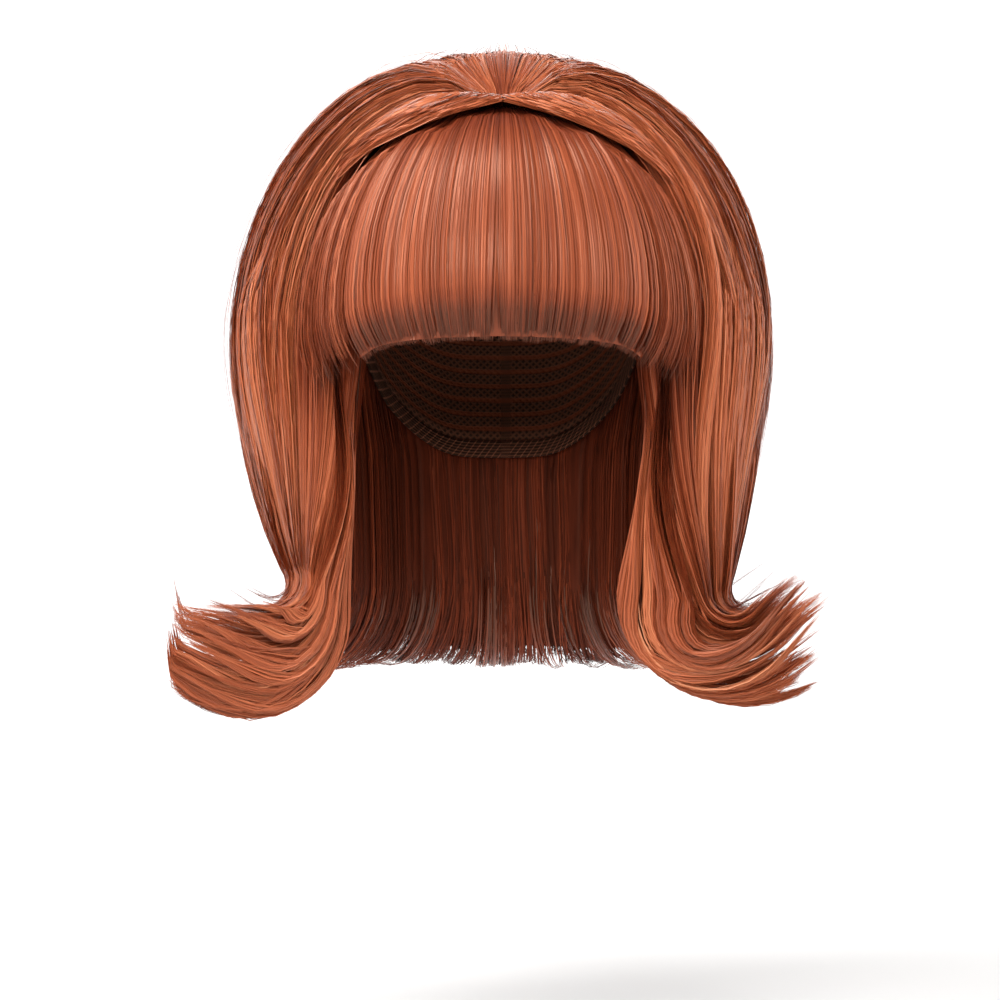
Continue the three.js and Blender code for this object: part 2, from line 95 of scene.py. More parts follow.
def column_at(rows, key, value, column):
    """A column of a table at values of its key column."""
    keys = rows[key]
    row = np.clip(np.searchsorted(keys, value, side="right") - 1, 0, len(keys) - 2)
    t = np.clip((value - keys[row]) / (keys[row + 1] - keys[row]), 0, 1)
    return smooth_column(rows, row + t, column)


def head_point(az, z, offset):
    """The head's form grown by offset, at az degrees from the face and a level z."""
    a = np.radians(az)
    level = (z + CROWN_HEIGHT) / (CROWN_HEIGHT + offset)
    round_top = np.sqrt(np.clip(1 - level**2, 0, 1))
    wide = column_at(HOLLOW, "drop", -z / FLIP_DROP, "wide")
    aft = np.where(np.cos(a) < 0, column_at(HOLLOW, "drop", -z / FLIP_DROP, "aft"), 1)
    across = (HEAD_WIDTH / 2 + offset) * np.where(level > 0, round_top, wide)
    deep = (HEAD_DEPTH / 2 + offset) * np.where(level > 0, round_top, aft)
    return np.stack([across * np.sin(a), -deep * np.cos(a), z + 0 * a], -1)


def cap_point(az, place, offset):
    """A point of the cap: place is 0 at the crown and 1 at the head's widest level."""
    a = np.radians(az)
    down = np.minimum(place, 1) * np.pi / 2
    dome = np.stack(
        [
            (HEAD_WIDTH / 2 + offset) * np.sin(down) * np.sin(a),
            -(HEAD_DEPTH / 2 + offset) * np.sin(down) * np.cos(a),
            -CROWN_HEIGHT + (CROWN_HEIGHT + offset) * np.cos(down),
        ],
        -1,
    )
    below = head_point(az, -CROWN_HEIGHT * np.maximum(place, 1), offset)
    return np.where((place > 1)[..., None], below, dome)


def edge_place(az):
    """The cap's edge at an angle, as a place down the head."""
    drop = column_at(CAP_EDGE, "az", np.abs(az), "drop")
    return np.where(drop > 1, drop, np.arccos(1 - np.minimum(drop, 1)) / (np.pi / 2))


def colour(hex_code):
    """An sRGB hex colour as linear values."""
    values = [int(hex_code[i : i + 2], 16) / 255 for i in (1, 3, 5)]
    linear = [v / 12.92 if v <= 0.04045 else ((v + 0.055) / 1.055) ** 2.4 for v in values]
    return (*linear, 1)


def add_node(tree, kind, values=None, links=None, **settings):
    """A shader node with its settings, its sockets' values and its links."""
    made = tree.nodes.new("ShaderNode" + kind)
    for name, value in settings.items():
        setattr(made, name, value)
    for name, value in (values or {}).items():
        made.inputs[name].default_value = value
    for name, source in (links or {}).items():
        tree.links.new(source, made.inputs[name])
    return made


def set_stops(ramp, *stops):
    """The stops of a colour ramp, as pairs of place and hex colour."""
    points = ramp.color_ramp.elements
    while len(points) < len(stops):
        points.new(0.5)
    for point, (place, hex_code) in zip(points, stops):
        point.position = place
        point.color = colour(hex_code)


def new_material(name, **shader_values):
    """A material with its shader's fixed numbers set."""
    material = bpy.data.materials.new(name)
    material.use_nodes = True
    shader = material.node_tree.nodes["Principled BSDF"]
    for socket, value in shader_values.items():
        shader.inputs[socket.replace("_", " ")].default_value = value
    return material, material.node_tree, shader


def add_piece(name, points, faces, maps, material, nodes=(), slot="hair_fibre"):
    """A piece from points in mm and faces. maps gives each point its place on each UV map."""
    mesh = bpy.data.meshes.new(name)
    mesh.from_pydata((np.asarray(points) / 1000).tolist(), [], np.asarray(faces).tolist())
    corners = np.empty(len(mesh.loops), int)
    mesh.loops.foreach_get("vertex_index", corners)
    for label, places in maps.items():
        layer = mesh.uv_layers.new(name=label)
        layer.data.foreach_set("uv", np.asarray(places, np.float32)[corners].ravel())
    mesh.polygons.foreach_set("use_smooth", np.ones(len(mesh.polygons), bool))
    mesh.materials.append(material)
    mesh.validate()
    piece = bpy.data.objects.new(name, mesh)
    bpy.context.collection.objects.link(piece)
    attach(piece, "root")
    if nodes:
        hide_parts(*nodes)
    return piece


def loop_faces(rings, around, closed=True):
    """Faces that join rings of points, each to the next, and the last to the first if closed."""
    r = np.arange(rings if closed else rings - 1)[:, None]
    i = np.arange(around)[None, :]
    s, j = (r + 1) % rings, (i + 1) % around
    corners = [r * around + i, r * around + j, s * around + j, s * around + i]
    return np.stack(np.broadcast_arrays(*corners), -1).reshape(-1, 4)


def dye(tree, shader, ground, shades, raised, edge, dyed):
    """Colours a cloth by its ground's shades, and what stands raised on it in its own colour."""
    shade = add_node(tree, "ValToRGB", links={"Fac": ground})
    set_stops(shade, *shades)
    over = add_node(tree, "ValToRGB", links={"Fac": raised})
    set_stops(over, (edge[0], "#000000"), (edge[1], "#ffffff"))
    links = {0: over.outputs["Color"], 6: shade.outputs["Color"]}
    cover = add_node(tree, "Mix", {7: colour(dyed)}, links, data_type="RGBA")
    tree.links.new(cover.outputs[2], shader.inputs["Base Color"])
    return over.outputs["Color"]


def paired(a, b):
    """Two values for each point, as places on a UV map."""
    return np.stack(np.broadcast_arrays(a, b), -1)


# Stretch lace: polyamide net, matt, with a darker hole in each cell of the knit and the weft
# tracks across it as raised dark rows. It gives the eye a fine dark mesh inside the wig.
lace, tree, shader = new_material("stretch_lace", Roughness=0.8, IOR=1.5, Specular_Tint=colour("#c9977c"))
net = add_node(tree, "UVMap", uv_map="Lay")
threads = []
for lean in (0.85, -0.85):
    turned = add_node(tree, "Mapping", {"Rotation": (0, 0, lean)}, {"Vector": net.outputs[0]})
    scale = {"Scale": np.pi / NET_PITCH, "Distortion": 0.3, "Detail": 1}
    threads.append(add_node(tree, "TexWave", scale, {"Vector": turned.outputs[0]}).outputs["Fac"])
knit = add_node(tree, "Math", links=dict(enumerate(threads)), operation="MAXIMUM")
scale = {"Scale": np.pi / WEFT_PITCH, "Distortion": 0.4}
rows = add_node(tree, "TexWave", scale, {"Vector": net.outputs[0]}, bands_direction="Y")
ground = ((0.35, "#20120c"), (0.8, "#4a2b1e"))
tracks = dye(tree, shader, knit.outputs[0], ground, rows.outputs["Fac"], (0.7, 0.85), "#5b2a18")
relief = add_node(tree, "Math", links={0: knit.outputs[0], 1: tracks}, operation="ADD")
bump = add_node(tree, "Bump", {"Strength": 0.6, "Distance": 0.0004}, {"Height": relief.outputs[0]})
tree.links.new(bump.outputs[0], shader.inputs["Normal"])

CAP_RINGS = 44
CAP_SIDES = 96
CAP_LENGTH = 170  # from the crown down to the edge, along the cloth


def cap_ring(share, offset):
    """A ring of the cap at a share of the way down to its edge."""
    az = np.arange(CAP_SIDES) / CAP_SIDES * 360 - 180
    down = edge_place(az) * share
    weft = np.cos(down * CROWN_HEIGHT * np.pi / 2 / WEFT_PITCH * 2 * np.pi)
    return cap_point(az, down, offset + WEFT_RISE * np.clip(weft, 0, 1) ** 2)


shares = np.linspace(0.004, 1, CAP_RINGS)
rings = [cap_ring(share, CAP_WALL - WEFT_RISE) for share in shares]
rings += [cap_ring(share, 0.05) for share in shares[::-1]]
around = np.arange(CAP_SIDES) / CAP_SIDES * 2 * np.pi * (HEAD_WIDTH + HEAD_DEPTH) / 4
laid = [paired(around, CAP_LENGTH * share) for share in np.r_[shares, shares[::-1]]]
stretch_cap = add_piece(
    "lace_stretch_cap",
    np.concatenate(rings),
    loop_faces(len(rings), CAP_SIDES),
    {"Lay": np.concatenate(laid) / 10},
    lace,
    ["stretch_cap"],
    "cap_lace",
)

# The elastic edge band
# A flat ribbed elastic tape in dark brown, folded over the cap's edge and sewn on with a zigzag
# stitch. It grips the head all the way round.
BAND_HEIGHT = 9
BAND_WALL = 2.2
SEAM = 0.3  # between the edge of the lace and the band
RIB_PITCH = 1.5
STITCH_LENGTH = 3

# Ribbed elastic: rubber cord in polyamide yarn, matt. It gives the eye fine dark ribs along the
# edge, crossed by a paler zigzag of sewing thread.
look = {"Roughness": 0.75, "IOR": 1.5, "Specular_Tint": colour("#c9977c")}
elastic, tree, shader = new_material("ribbed_elastic", **look)
tape = add_node(tree, "UVMap", uv_map="Lay")
scale = {"Scale": np.pi / RIB_PITCH, "Distortion": 0.1}
ribs = add_node(tree, "TexWave", scale, {"Vector": tape.outputs[0]}, bands_direction="Y")
turned = add_node(tree, "Mapping", {"Rotation": (0, 0, 0.7)}, {"Vector": tape.outputs[0]})
scale = {"Scale": np.pi / STITCH_LENGTH, "Distortion": 0.2}
stitches = add_node(tree, "TexWave", scale, {"Vector": turned.outputs[0]})
ground = ((0.1, "#1b0f0a"), (0.9, "#46281b"))
dye(tree, shader, ribs.outputs["Fac"], ground, stitches.outputs["Fac"], (0.86, 0.94), "#6a4030")
bump = add_node(tree, "Bump", {"Strength": 0.7, "Distance": 0.0005}, {"Height": ribs.outputs["Fac"]})
tree.links.new(bump.outputs[0], shader.inputs["Normal"])


def band_ring(step, offset):
    """A ring of the band, step mm below the cap's edge."""
    az = np.arange(CAP_SIDES) / CAP_SIDES * 360 - 180
    return cap_point(az, edge_place(az) + step / CROWN_HEIGHT, offset)


section = []
for turn in np.radians(np.arange(0, 360, 30)):
    level = np.sign(np.cos(turn)) * abs(np.cos(turn)) ** 0.5
    depth = np.sign(np.sin(turn)) * abs(np.sin(turn)) ** 0.5
    section.append((SEAM + BAND_HEIGHT * (1 + level) / 2, CAP_WALL - BAND_WALL * (1 - depth) / 2))
rings = [band_ring(step, offset) for step, offset in section]
laid = [paired(around, step) for step, _ in section]
edge_band = add_piece(
    "elastic_edge_band",
    np.concatenate(rings),
    loop_faces(len(rings), CAP_SIDES)[:, ::-1],
    {"Lay": np.concatenate(laid) / 10},
    elastic,
    ["cap_edge_band"],
    "elastic_band",
)

# The under layer
# The lower wefts of straight copper fibre, which carry the flips and line the neck. They hang from
# the cap's rows, fill the depth behind the top layer and are seen from inside, past the face.
HAIR_WIDTH = 254
HAIR_FRONT = 110  # the fringe in front of the head's middle
HAIR_BACK = 122  # the back hair behind the head's middle
BEEHIVE_RISE = 36  # the top of the hair above the crown of the head
WIDEST_DROP = 112  # the widest level of the hair below the crown of the head
FLIP_RADIUS = 20  # the outer bend of the flipped ends
UNDER_RADIUS = 54  # the bend of the hair beneath it
TIP_LENGTH = 20  # the straight ends past the bend
DRAW_IN = 2.2  # how late the hanging hair draws in towards the neck, as a power
GATHER = np.array([1.0, -37.0, 1.0])  # the pinch behind the fringe
GATHER_RADIUS = 6
GATHER_DEPTH = 7
PINCH_POWER = 5  # how fast the crown hair rises behind the pinch, as a power
HAIR_INSIDE = 3.9  # from the head to the inside of the hair
LOCK_GAP = 0.8  # between locks side by side
LAYER_GAP = 1.2  # between the top layer and the one beneath it
OVER_SHARE = 0.45  # the share of the hair's depth that the top layer takes
TIP_KEEP = 0.48  # the share of its thickness that a lock keeps at its tip
TIP_WIDTH_KEEP = 0.62  # the share of its width that a lock keeps at its tip
EDGE_FALL = 1.6  # how far a lock's sides fall away from its face
PINCH_STEPS = 2
CROWN_STEPS = 24
HANG_STEPS = 14
BEND_STEPS = 18
TIP_STEPS = 5
FLIP_STEPS = BEND_STEPS + TIP_STEPS
LINE_STEPS = PINCH_STEPS + CROWN_STEPS + 1 + HANG_STEPS + FLIP_STEPS
FLIP_START = LINE_STEPS - FLIP_STEPS - 1
LEFT, RIGHT = -1, 1
SIDE_NAMES = {LEFT: "left", RIGHT: "right"}

# The guide lines of the hair, as in the frame, from the face to the back of the head.
GUIDES = table(
    "az reach peak az_hem az_in flip_az",
    (40, 0.88, 0.2, 53, 62, 86),
    (50, 1, 0.3, 62, 74, 89),
    (70, 1, 0.68, 76, 82, 92),
    (92, 1, 0.95, 94, 95, 98),
    (118, 1, 1.1, 118, 118, 120),
    (148, 1, 1.32, 148, 148, 150),
    (180, 1, 1.42, 180, 180, 180),
)
LAST_GUIDE = 6

# How each guide line flips at its end: its level, its reach, the bend's radius, how far it turns and
# its straight tip. The left flip bends a little lower than the right one.
FLIPS = {
    RIGHT: table(
        "drop out bend turn tip",
        (1.04, 0.9, 0.7, 138, 1.1),
        (1.03, 0.9, 0.6, 132, 1.2),
        (1.02, 0.88, 0.6, 128, 1.3),
        (1, 0.84, 0.7, 120, 1.2),
        (1, 0.8, 1, 112, 1),
        (1, 0.8, 1.1, 112, 0.9),
        (1, 0.8, 1.1, 112, 0.9),
    ),
    LEFT: table(
        "drop out bend turn tip",
        (1, 0.86, 0.85, 102, 1.3),
        (0.99, 0.84, 0.75, 92, 1.5),
        (0.99, 0.83, 0.7, 90, 1.7),
        (1, 0.82, 0.8, 94, 1.4),
        (1, 0.8, 1, 106, 1.1),
        (1, 0.8, 1.1, 112, 0.9),
        (1, 0.8, 1.1, 112, 0.9),
    ),
}

# The same for the inside of the hair, with the width of the hollow in place of the reach.
UNDER_FLIPS = {
    RIGHT: table(
        "drop wide bend turn tip",
        (1.05, 0.84, 0.84, 140, 1.1),
        (1.05, 0.84, 0.96, 118, 0.7),
        (1.05, 0.9, 0.98, 112, 0.6),
        (1.04, 0.96, 0.98, 108, 0.4),
        (1.02, 1, 0.9, 110, 0.4),
        (1.02, 1, 0.9, 108, 0.4),
        (1.02, 1, 0.9, 108, 0.4),
    ),
    LEFT: table(
        "drop wide bend turn tip",
        (1.09, 1.08, 1, 126, 0.2),
        (1.08, 1.02, 0.98, 130, 0.2),
        (1.06, 1, 0.96, 126, 0.2),
        (1.04, 1, 0.94, 118, 0.3),
        (1.03, 1, 0.92, 112, 0.4),
        (1.02, 1, 0.9, 108, 0.4),
        (1.02, 1, 0.9, 108, 0.4),
    ),
}


def mix(a, b, share):
    """A value between a and b."""
    return a + (b - a) * share


def smooth(value, low, high):
    """0 below low, 1 above high, and a smooth step between them."""
    t = np.clip((value - low) / (high - low), 0, 1)
    return t * t * (3 - 2 * t)


def unit(vectors):
    """Vectors with length one."""
    return vectors / np.maximum(np.linalg.norm(vectors, axis=-1, keepdims=True), 1e-9)


def degrees_round(points):
    """Degrees round the head of points, from the face."""
    return np.degrees(np.arctan2(points[..., 0] / HEAD_WIDTH, -points[..., 1] / HEAD_DEPTH))


def inside_of(points, offset):
    """The places on the head's form grown by offset, straight inwards from points of the hair."""
    middle = np.array([0, 0, -CROWN_HEIGHT])
    half = np.array([HEAD_WIDTH / 2, HEAD_DEPTH / 2, CROWN_HEIGHT]) + offset
    ray = points - middle
    dome = middle + ray / np.linalg.norm(ray / half, axis=-1, keepdims=True)
    side = head_point(degrees_round(points), points[..., 2], offset)
    return np.where(points[..., 2:] < -CROWN_HEIGHT, side, dome)


def outline_point(side, az, reach, z):
    """The hair's outline at az degrees from the face on one side of the head, at a level z."""
    a = np.radians(az)
    across = side * HAIR_WIDTH / 2 * reach * np.sin(a)
    deep = (HAIR_BACK - HAIR_FRONT) / 2 - (HAIR_BACK + HAIR_FRONT) / 2 * reach * np.cos(a)
    return np.stack([across, deep, z + 0 * a], -1)


def crown_lines(foot, peak):
    """Lines from inside the gather over the crown to points at their feet."""
    away = unit((foot - GATHER) * [1, 1, 0])
    root = GATHER + away * GATHER_RADIUS
    out = np.sin(np.linspace(0, np.pi / 2, CROWN_STEPS + 1))
    rise = peak * BEEHIVE_RISE - foot[:, 2]
    pinch = peak * BEEHIVE_RISE - GATHER[2]
    lines = root[:, None] + (foot - root)[:, None] * out[:, None]
    lines[..., 2] = foot[:, 2:] + rise[:, None] * np.sqrt(np.clip(1 - out**2, 0, 1))
    lines[..., 2] -= pinch[:, None] * (1 - out) ** PINCH_POWER
    dips = [
        GATHER + away * GATHER_RADIUS * share - np.array([0, 0, GATHER_DEPTH * (1 - share)])
        for share in (0.2, 0.65)
    ]
    return np.concatenate([np.stack(dips, 1), lines], 1)


def flip_lines(start, heading, side, flip_az, radius, turn, tip):
    """Lines round a flip: each bends from its heading as far as turn, and ends straight."""
    a = np.radians(flip_az)
    out = np.stack([side * np.sin(a), -np.cos(a), 0 * a], -1)
    arc = (np.radians(turn) - heading) / BEND_STEPS
    bends = heading[:, None] + arc[:, None] * (np.arange(BEND_STEPS) + 0.5)
    angles = np.concatenate([bends, np.repeat(np.radians(turn)[:, None], TIP_STEPS, 1)], 1)
    lengths = np.repeat((radius * arc)[:, None], BEND_STEPS, 1)
    lengths = np.concatenate([lengths, np.repeat((tip / TIP_STEPS)[:, None], TIP_STEPS, 1)], 1)
    moves = out[:, None] * (np.sin(angles) * lengths)[..., None]
    moves[..., 2] -= np.cos(angles) * lengths
    return start[:, None] + np.cumsum(moves, 1)


def side_lines(side, place, curl, reach):
    """The outside and the inside of the hair at places between the guide lines of one side."""
    guide = {name: smooth_column(GUIDES, place, name) for name in GUIDES}
    flip = {name: smooth_column(FLIPS[side], place, name) for name in FLIPS[side]}
    under = {name: smooth_column(UNDER_FLIPS[side], place, name) for name in UNDER_FLIPS[side]}
    t = np.linspace(0, 1, HANG_STEPS + 1)[1:]

    foot = outline_point(side, guide["az"], guide["reach"], -WIDEST_DROP)
    hem = outline_point(side, guide["az_hem"], flip["out"], -flip["drop"] * FLIP_DROP)
    crown = crown_lines(foot, guide["peak"])
    hang = foot[:, None] + (hem - foot)[:, None] * (t**DRAW_IN)[:, None]
    hang[..., 2] = mix(foot[:, 2:], hem[:, 2:], t)
    drawn = np.hypot(foot[:, 0], foot[:, 1]) - np.hypot(hem[:, 0], hem[:, 1])
    heading = -np.arctan2(DRAW_IN * np.maximum(0, drawn), foot[:, 2] - hem[:, 2])
    radius = flip["bend"] * FLIP_RADIUS
    tip = flip["tip"] * reach * TIP_LENGTH
    ends = flip_lines(hem, heading, side, guide["flip_az"], radius, flip["turn"] + curl, tip)
    outer = np.concatenate([crown, hang, ends], 1)

    bed = inside_of(crown, HAIR_INSIDE)
    bed[:, :PINCH_STEPS] = bed[:, PINCH_STEPS : PINCH_STEPS + 1]
    under_foot = bed[:, -1]
    az = mix(degrees_round(under_foot)[:, None], side * guide["az_in"][:, None], smooth(t, 0, 0.5))
    z = mix(under_foot[:, 2:], (-under["drop"] * FLIP_DROP)[:, None], t)
    hang = head_point(az, z, HAIR_INSIDE)
    hang[..., 0] *= mix(1, under["wide"][:, None], smooth(t, 0.3, 1))
    radius = under["bend"] * UNDER_RADIUS
    still = 0 * radius
    tip = under["tip"] * TIP_LENGTH
    ends = flip_lines(hang[:, -1], still, side, guide["flip_az"], radius, under["turn"], tip)
    return outer, np.concatenate([bed, hang, ends], 1)


def hair_lines(side, place, curl, reach):
    """The same at any places: those past the last guide line are on the other side of the head."""
    over = (place > LAST_GUIDE)[:, None, None]
    near = side_lines(side, np.minimum(place, LAST_GUIDE), curl, reach)
    far = side_lines(-side, np.minimum(2 * LAST_GUIDE - place, LAST_GUIDE), curl, reach)
    return [np.where(over, b, a) for a, b in zip(near, far)]


def lock_form(side, start, end, top, bottom, lift=0, bulge=0, curl=0, reach=1, across=25, tip_keep=TIP_KEEP):
    """The face and the back of a lock as grids of points, between two shares of the hair's depth."""
    share = np.linspace(0, 1, across)
    outer, inner = hair_lines(side, mix(start, end, share), curl, reach)
    step = np.arange(LINE_STEPS)
    tip = np.clip((step - (LINE_STEPS - FLIP_STEPS)) / FLIP_STEPS, 0, 1)
    depth = np.linalg.norm(outer - inner, axis=-1, keepdims=True)
    outward = (outer - inner) / depth
    gap = LAYER_GAP / 2 / depth
    keep = mix(1, tip_keep, tip)[:, None]
    middle = (top + bottom) / 2
    high = mix(middle, top + gap if top > 0 else top, keep)
    low = mix(middle, bottom - gap if bottom < 1 else bottom, keep)
    grown = smooth(step, PINCH_STEPS, PINCH_STEPS + CROWN_STEPS * 0.8)
    rise = ((lift + bulge * np.sin(np.pi * share))[:, None] * grown)[..., None]
    form = {"face": mix(outer, inner, high) + outward * rise, "back": mix(outer, inner, low)}
    narrow = mix(1, TIP_WIDTH_KEEP if tip_keep < 1 else 1, tip**2)[:, None]
    for name, grid in form.items():
        centre = (grid[0] + grid[-1]) / 2
        width = np.linalg.norm(grid[-1] - grid[0], axis=-1, keepdims=True)
        form[name] = mix(centre, grid, narrow * (1 - np.minimum(0.8, LOCK_GAP / width)))
    form["side"] = side
    return form


def sample(grid, share, step):
    """Points of a grid at shares across it and steps along it."""
    across = np.clip(share, 0, 1) * (grid.shape[0] - 1)
    along = np.clip(step, 0, grid.shape[1] - 1)
    i = np.minimum(across.astype(int), grid.shape[0] - 2)
    j = np.minimum(along.astype(int), grid.shape[1] - 2)
    u, v = (across - i)[..., None], (along - j)[..., None]
    here = mix(grid[i, j], grid[i + 1, j], u)
    there = mix(grid[i, j + 1], grid[i + 1, j + 1], u)
    return mix(here, there, v)


def outside(form, share, step):
    """Points of a form's face, and the way out of it."""
    face = sample(form["face"], share, step)
    return face, unit(face - sample(form["back"], share, step))


def lock_points(form, share, step, deep):
    """Points deep mm under a lock's face, whose sides fall away, and the way out of it."""
    face = sample(form["face"], share, step)
    back = sample(form["back"], share, step)
    thick = np.linalg.norm(face - back, axis=-1, keepdims=True)
    out = (face - back) / np.maximum(thick, 1e-6)
    fall = EDGE_FALL * np.abs(2 * share - 1) ** 3 * smooth(step, PINCH_STEPS + 4, PINCH_STEPS + 18)
    sunk = np.minimum((deep + fall)[..., None], thick * 0.95)
    return face - out * sunk, out


def lock_core(form, first, last, tint, rng, sink=1.4, press=None, across=18, along=40):
    """The closed body of a lock under its strands, ridged along the hair, and tinted dark as painted shade
    between the strands.
    """
    share = np.linspace(0, 1, across)
    t = np.linspace(0, 1, along)
    u, v = np.meshgrid(share, t)
    step = mix(first, last, v)
    waves = zip(rng.uniform(14, 60, 4), rng.uniform(-3, 3, 4), rng.uniform(0, 6, 4))
    ridges = sum(np.sin(rate * u + drift * v + phase) for rate, drift, phase in waves) / 4
    thick = np.linalg.norm(sample(form["face"], u, step) - sample(form["back"], u, step), axis=-1)
    sunk = sink + 2.5 * smooth(step, FLIP_START - 12, FLIP_START) + 0.35 * ridges
    sunk = np.minimum(sunk, thick * 0.4)
    if press:
        sunk = np.minimum(sunk + press(u, step), thick * 0.8)
    face, _ = lock_points(form, u, step, sunk)
    back, _ = lock_points(form, u, step, thick * 0.9 - np.minimum(0.35 * (1 + ridges), thick * 0.1))
    close = (smooth(v, 0.7, 1) + 1 - smooth(v, 0, 0.03))[..., None]
    middle = (face + back) / 2
    rings = np.concatenate([mix(face, middle, close), mix(back, middle, close)[:, ::-1]], 1)
    loop = np.concatenate([share, share[::-1]])
    shade = tint + 0.04 * ridges[:, :1] + 0 * loop
    maps = {"Strand": paired(shade, v[:, :1]), "Grain": paired(loop * 4, v[:, :1] * 28)}
    outwards = [1, 2, 3, 0] if form["side"] > 0 else [0, 3, 2, 1]
    faces = loop_faces(along, 2 * across, closed=False)[:, outwards]
    return rings.reshape(-1, 3), faces, {name: places.reshape(-1, 2) for name, places in maps.items()}


def ribbons(lines, outward, width, tint, rng, tip=0.3, root=0.12, roll=0.32):
    """Strands as narrow ribbons, thin at the root and drawn out at the tip."""
    count, points, _ = lines.shape
    ahead = unit(np.gradient(lines, axis=1))
    across = unit(np.cross(ahead, outward))
    roll = rng.normal(0, roll, count)[:, None, None]
    across = across * np.cos(roll) + np.cross(across, ahead) * np.sin(roll)
    t = np.linspace(0, 1, points)
    taper = mix(0.4, 1, smooth(t, 0, root)) * np.maximum(0.08, np.clip((1 - t) / tip, 0, 1) ** 0.6)
    half = across * (width[:, None] * taper / 2)[..., None]
    corners = np.stack([lines - half, lines + half], 2)
    length = np.cumsum(np.linalg.norm(np.gradient(lines, axis=1), axis=-1), 1)
    shade = np.clip(tint if np.ndim(tint) == 2 else tint[:, None], 0.02, 0.98)
    offset = rng.uniform(0, 60, count)[:, None, None]
    sideways = offset + np.array([0, 0.1]) * width[:, None, None]
    first = (np.arange(count)[:, None] * points + np.arange(points - 1)) * 2
    faces = np.stack([first, first + 1, first + 3, first + 2], -1).reshape(-1, 4)
    maps = {
        "Strand": np.repeat(paired(shade, t), 2, 1).reshape(-1, 2),
        "Grain": paired(sideways, length[..., None] / 10 + offset).reshape(-1, 2),
    }
    return corners.reshape(-1, 3), faces, maps


FULL_TURN = 6.3  # in radians, for the phases of waves
WIDTHS = (0.35, 0.75)  # the least and the most width of a strand

# In a comb, deep is how far under the face the strands lie, pull how far they draw together, ragged
# how unequal their ends are, lift how far the clumps stand apart, swing how far they wave, press how
# far they are pushed in, and the tip and root shade amounts how much darker they are tinted at their
# tips and roots, as painted shade; a negative tip amount paints the tips lighter, as painted light.


def comb(
    form, count, clumps, rng, first=0, last=LINE_STEPS - 1, deep=(0, 1.6), inward=False, tint=(0.5, 0.05),
    points=23, pull=0.5, ragged=0.1, lift=0.4, swing=0.03, press=None, fade=0, painted_root_shade=(0.3, 0.12), tip=0.3,
):
    """Strands combed along a lock in clumps, which draw together and part towards their tips."""
    centre = (np.arange(clumps) + rng.uniform(0.2, 0.8, clumps)) / clumps
    which = rng.integers(0, clumps, count)
    off = (rng.random(count) + rng.random(count) - 1) * 1.3 / clumps
    t = np.linspace(0, 1, points)
    drift = (rng.normal(0, 0.35, clumps) / clumps)[which][:, None] * t**2
    wave = np.sin(rng.uniform(2, 7, count)[:, None] * t + rng.uniform(0, FULL_TURN, count)[:, None])
    share = centre[which][:, None] + off[:, None] * (1 - pull * t**2) + drift
    share = share + 0.01 * wave * t
    turns = 9 * t + rng.uniform(0, FULL_TURN) + rng.normal(0, 0.5, clumps)[which][:, None]
    share = share + swing * np.sin(turns) * smooth(t, 0.35, 0.6) * (1 - smooth(t, 0.8, 1))
    reach = (1 - ragged * rng.random(clumps))[which] * (1 - ragged * rng.random(count) ** 2)
    step = first + (last - first) * t * reach[:, None]
    round_off = 0.4 * (2 * off * clumps / 1.3) ** 2
    loose = (rng.normal(0, lift, clumps)[which] + rng.normal(0, lift * 0.4, count))[:, None]
    depth = rng.uniform(*deep, count)[:, None] + round_off[:, None] + loose * smooth(t, 0.1, 0.9)
    if inward:
        form = {"face": form["back"], "back": form["face"]}
    lines, out = lock_points(form, share, step, np.maximum(depth, 0.2 if inward else -1.5))
    if press:
        lines = lines - out * press(share, step)[..., None]
    darker, end = painted_root_shade
    shade = (rng.normal(*tint, clumps)[which] + rng.normal(0, 0.06, count))[:, None]
    # painted shade: the strands are tinted darker towards their tips and roots, or lighter at the tips for a
    # negative amount
    shade = shade - fade * smooth(t, 0.77, 0.9) - darker * (1 - smooth(t, 0.15 * end, end))
    return ribbons(lines, out, rng.uniform(*WIDTHS, count), shade, rng, tip)


def join(parts):
    """Several meshes as one: points, faces and maps."""
    starts = np.cumsum([0] + [len(points) for points, _, _ in parts[:-1]])
    points = np.concatenate([points for points, _, _ in parts])
    faces = np.concatenate([faces + start for (_, faces, _), start in zip(parts, starts)])
    maps = {name: np.concatenate([m[name] for _, _, m in parts]) for name in parts[0][2]}
    return points, faces, maps


# Heat-set modacrylic fibre in copper: a soft satin strand, which throws a broad band of light
# across the hair. Each strand has its own tint from dark red-brown to pale copper, and fine
# streaks along it. The real fibre is 0.08 mm thick; a strand here is a bundle, so that it shows.
# The under layer takes a copy of this fibre with less gloss, so that it throws no highlights inside
# the wig: a shaded copy of the material, whose strands are also tinted dark as painted shade.
STREAK_PITCH = 0.5  # across the hair
STREAK_LENGTH = 40  # along it
STREAK_TINT = 0.24  # how far the streaks vary the tint of a strand


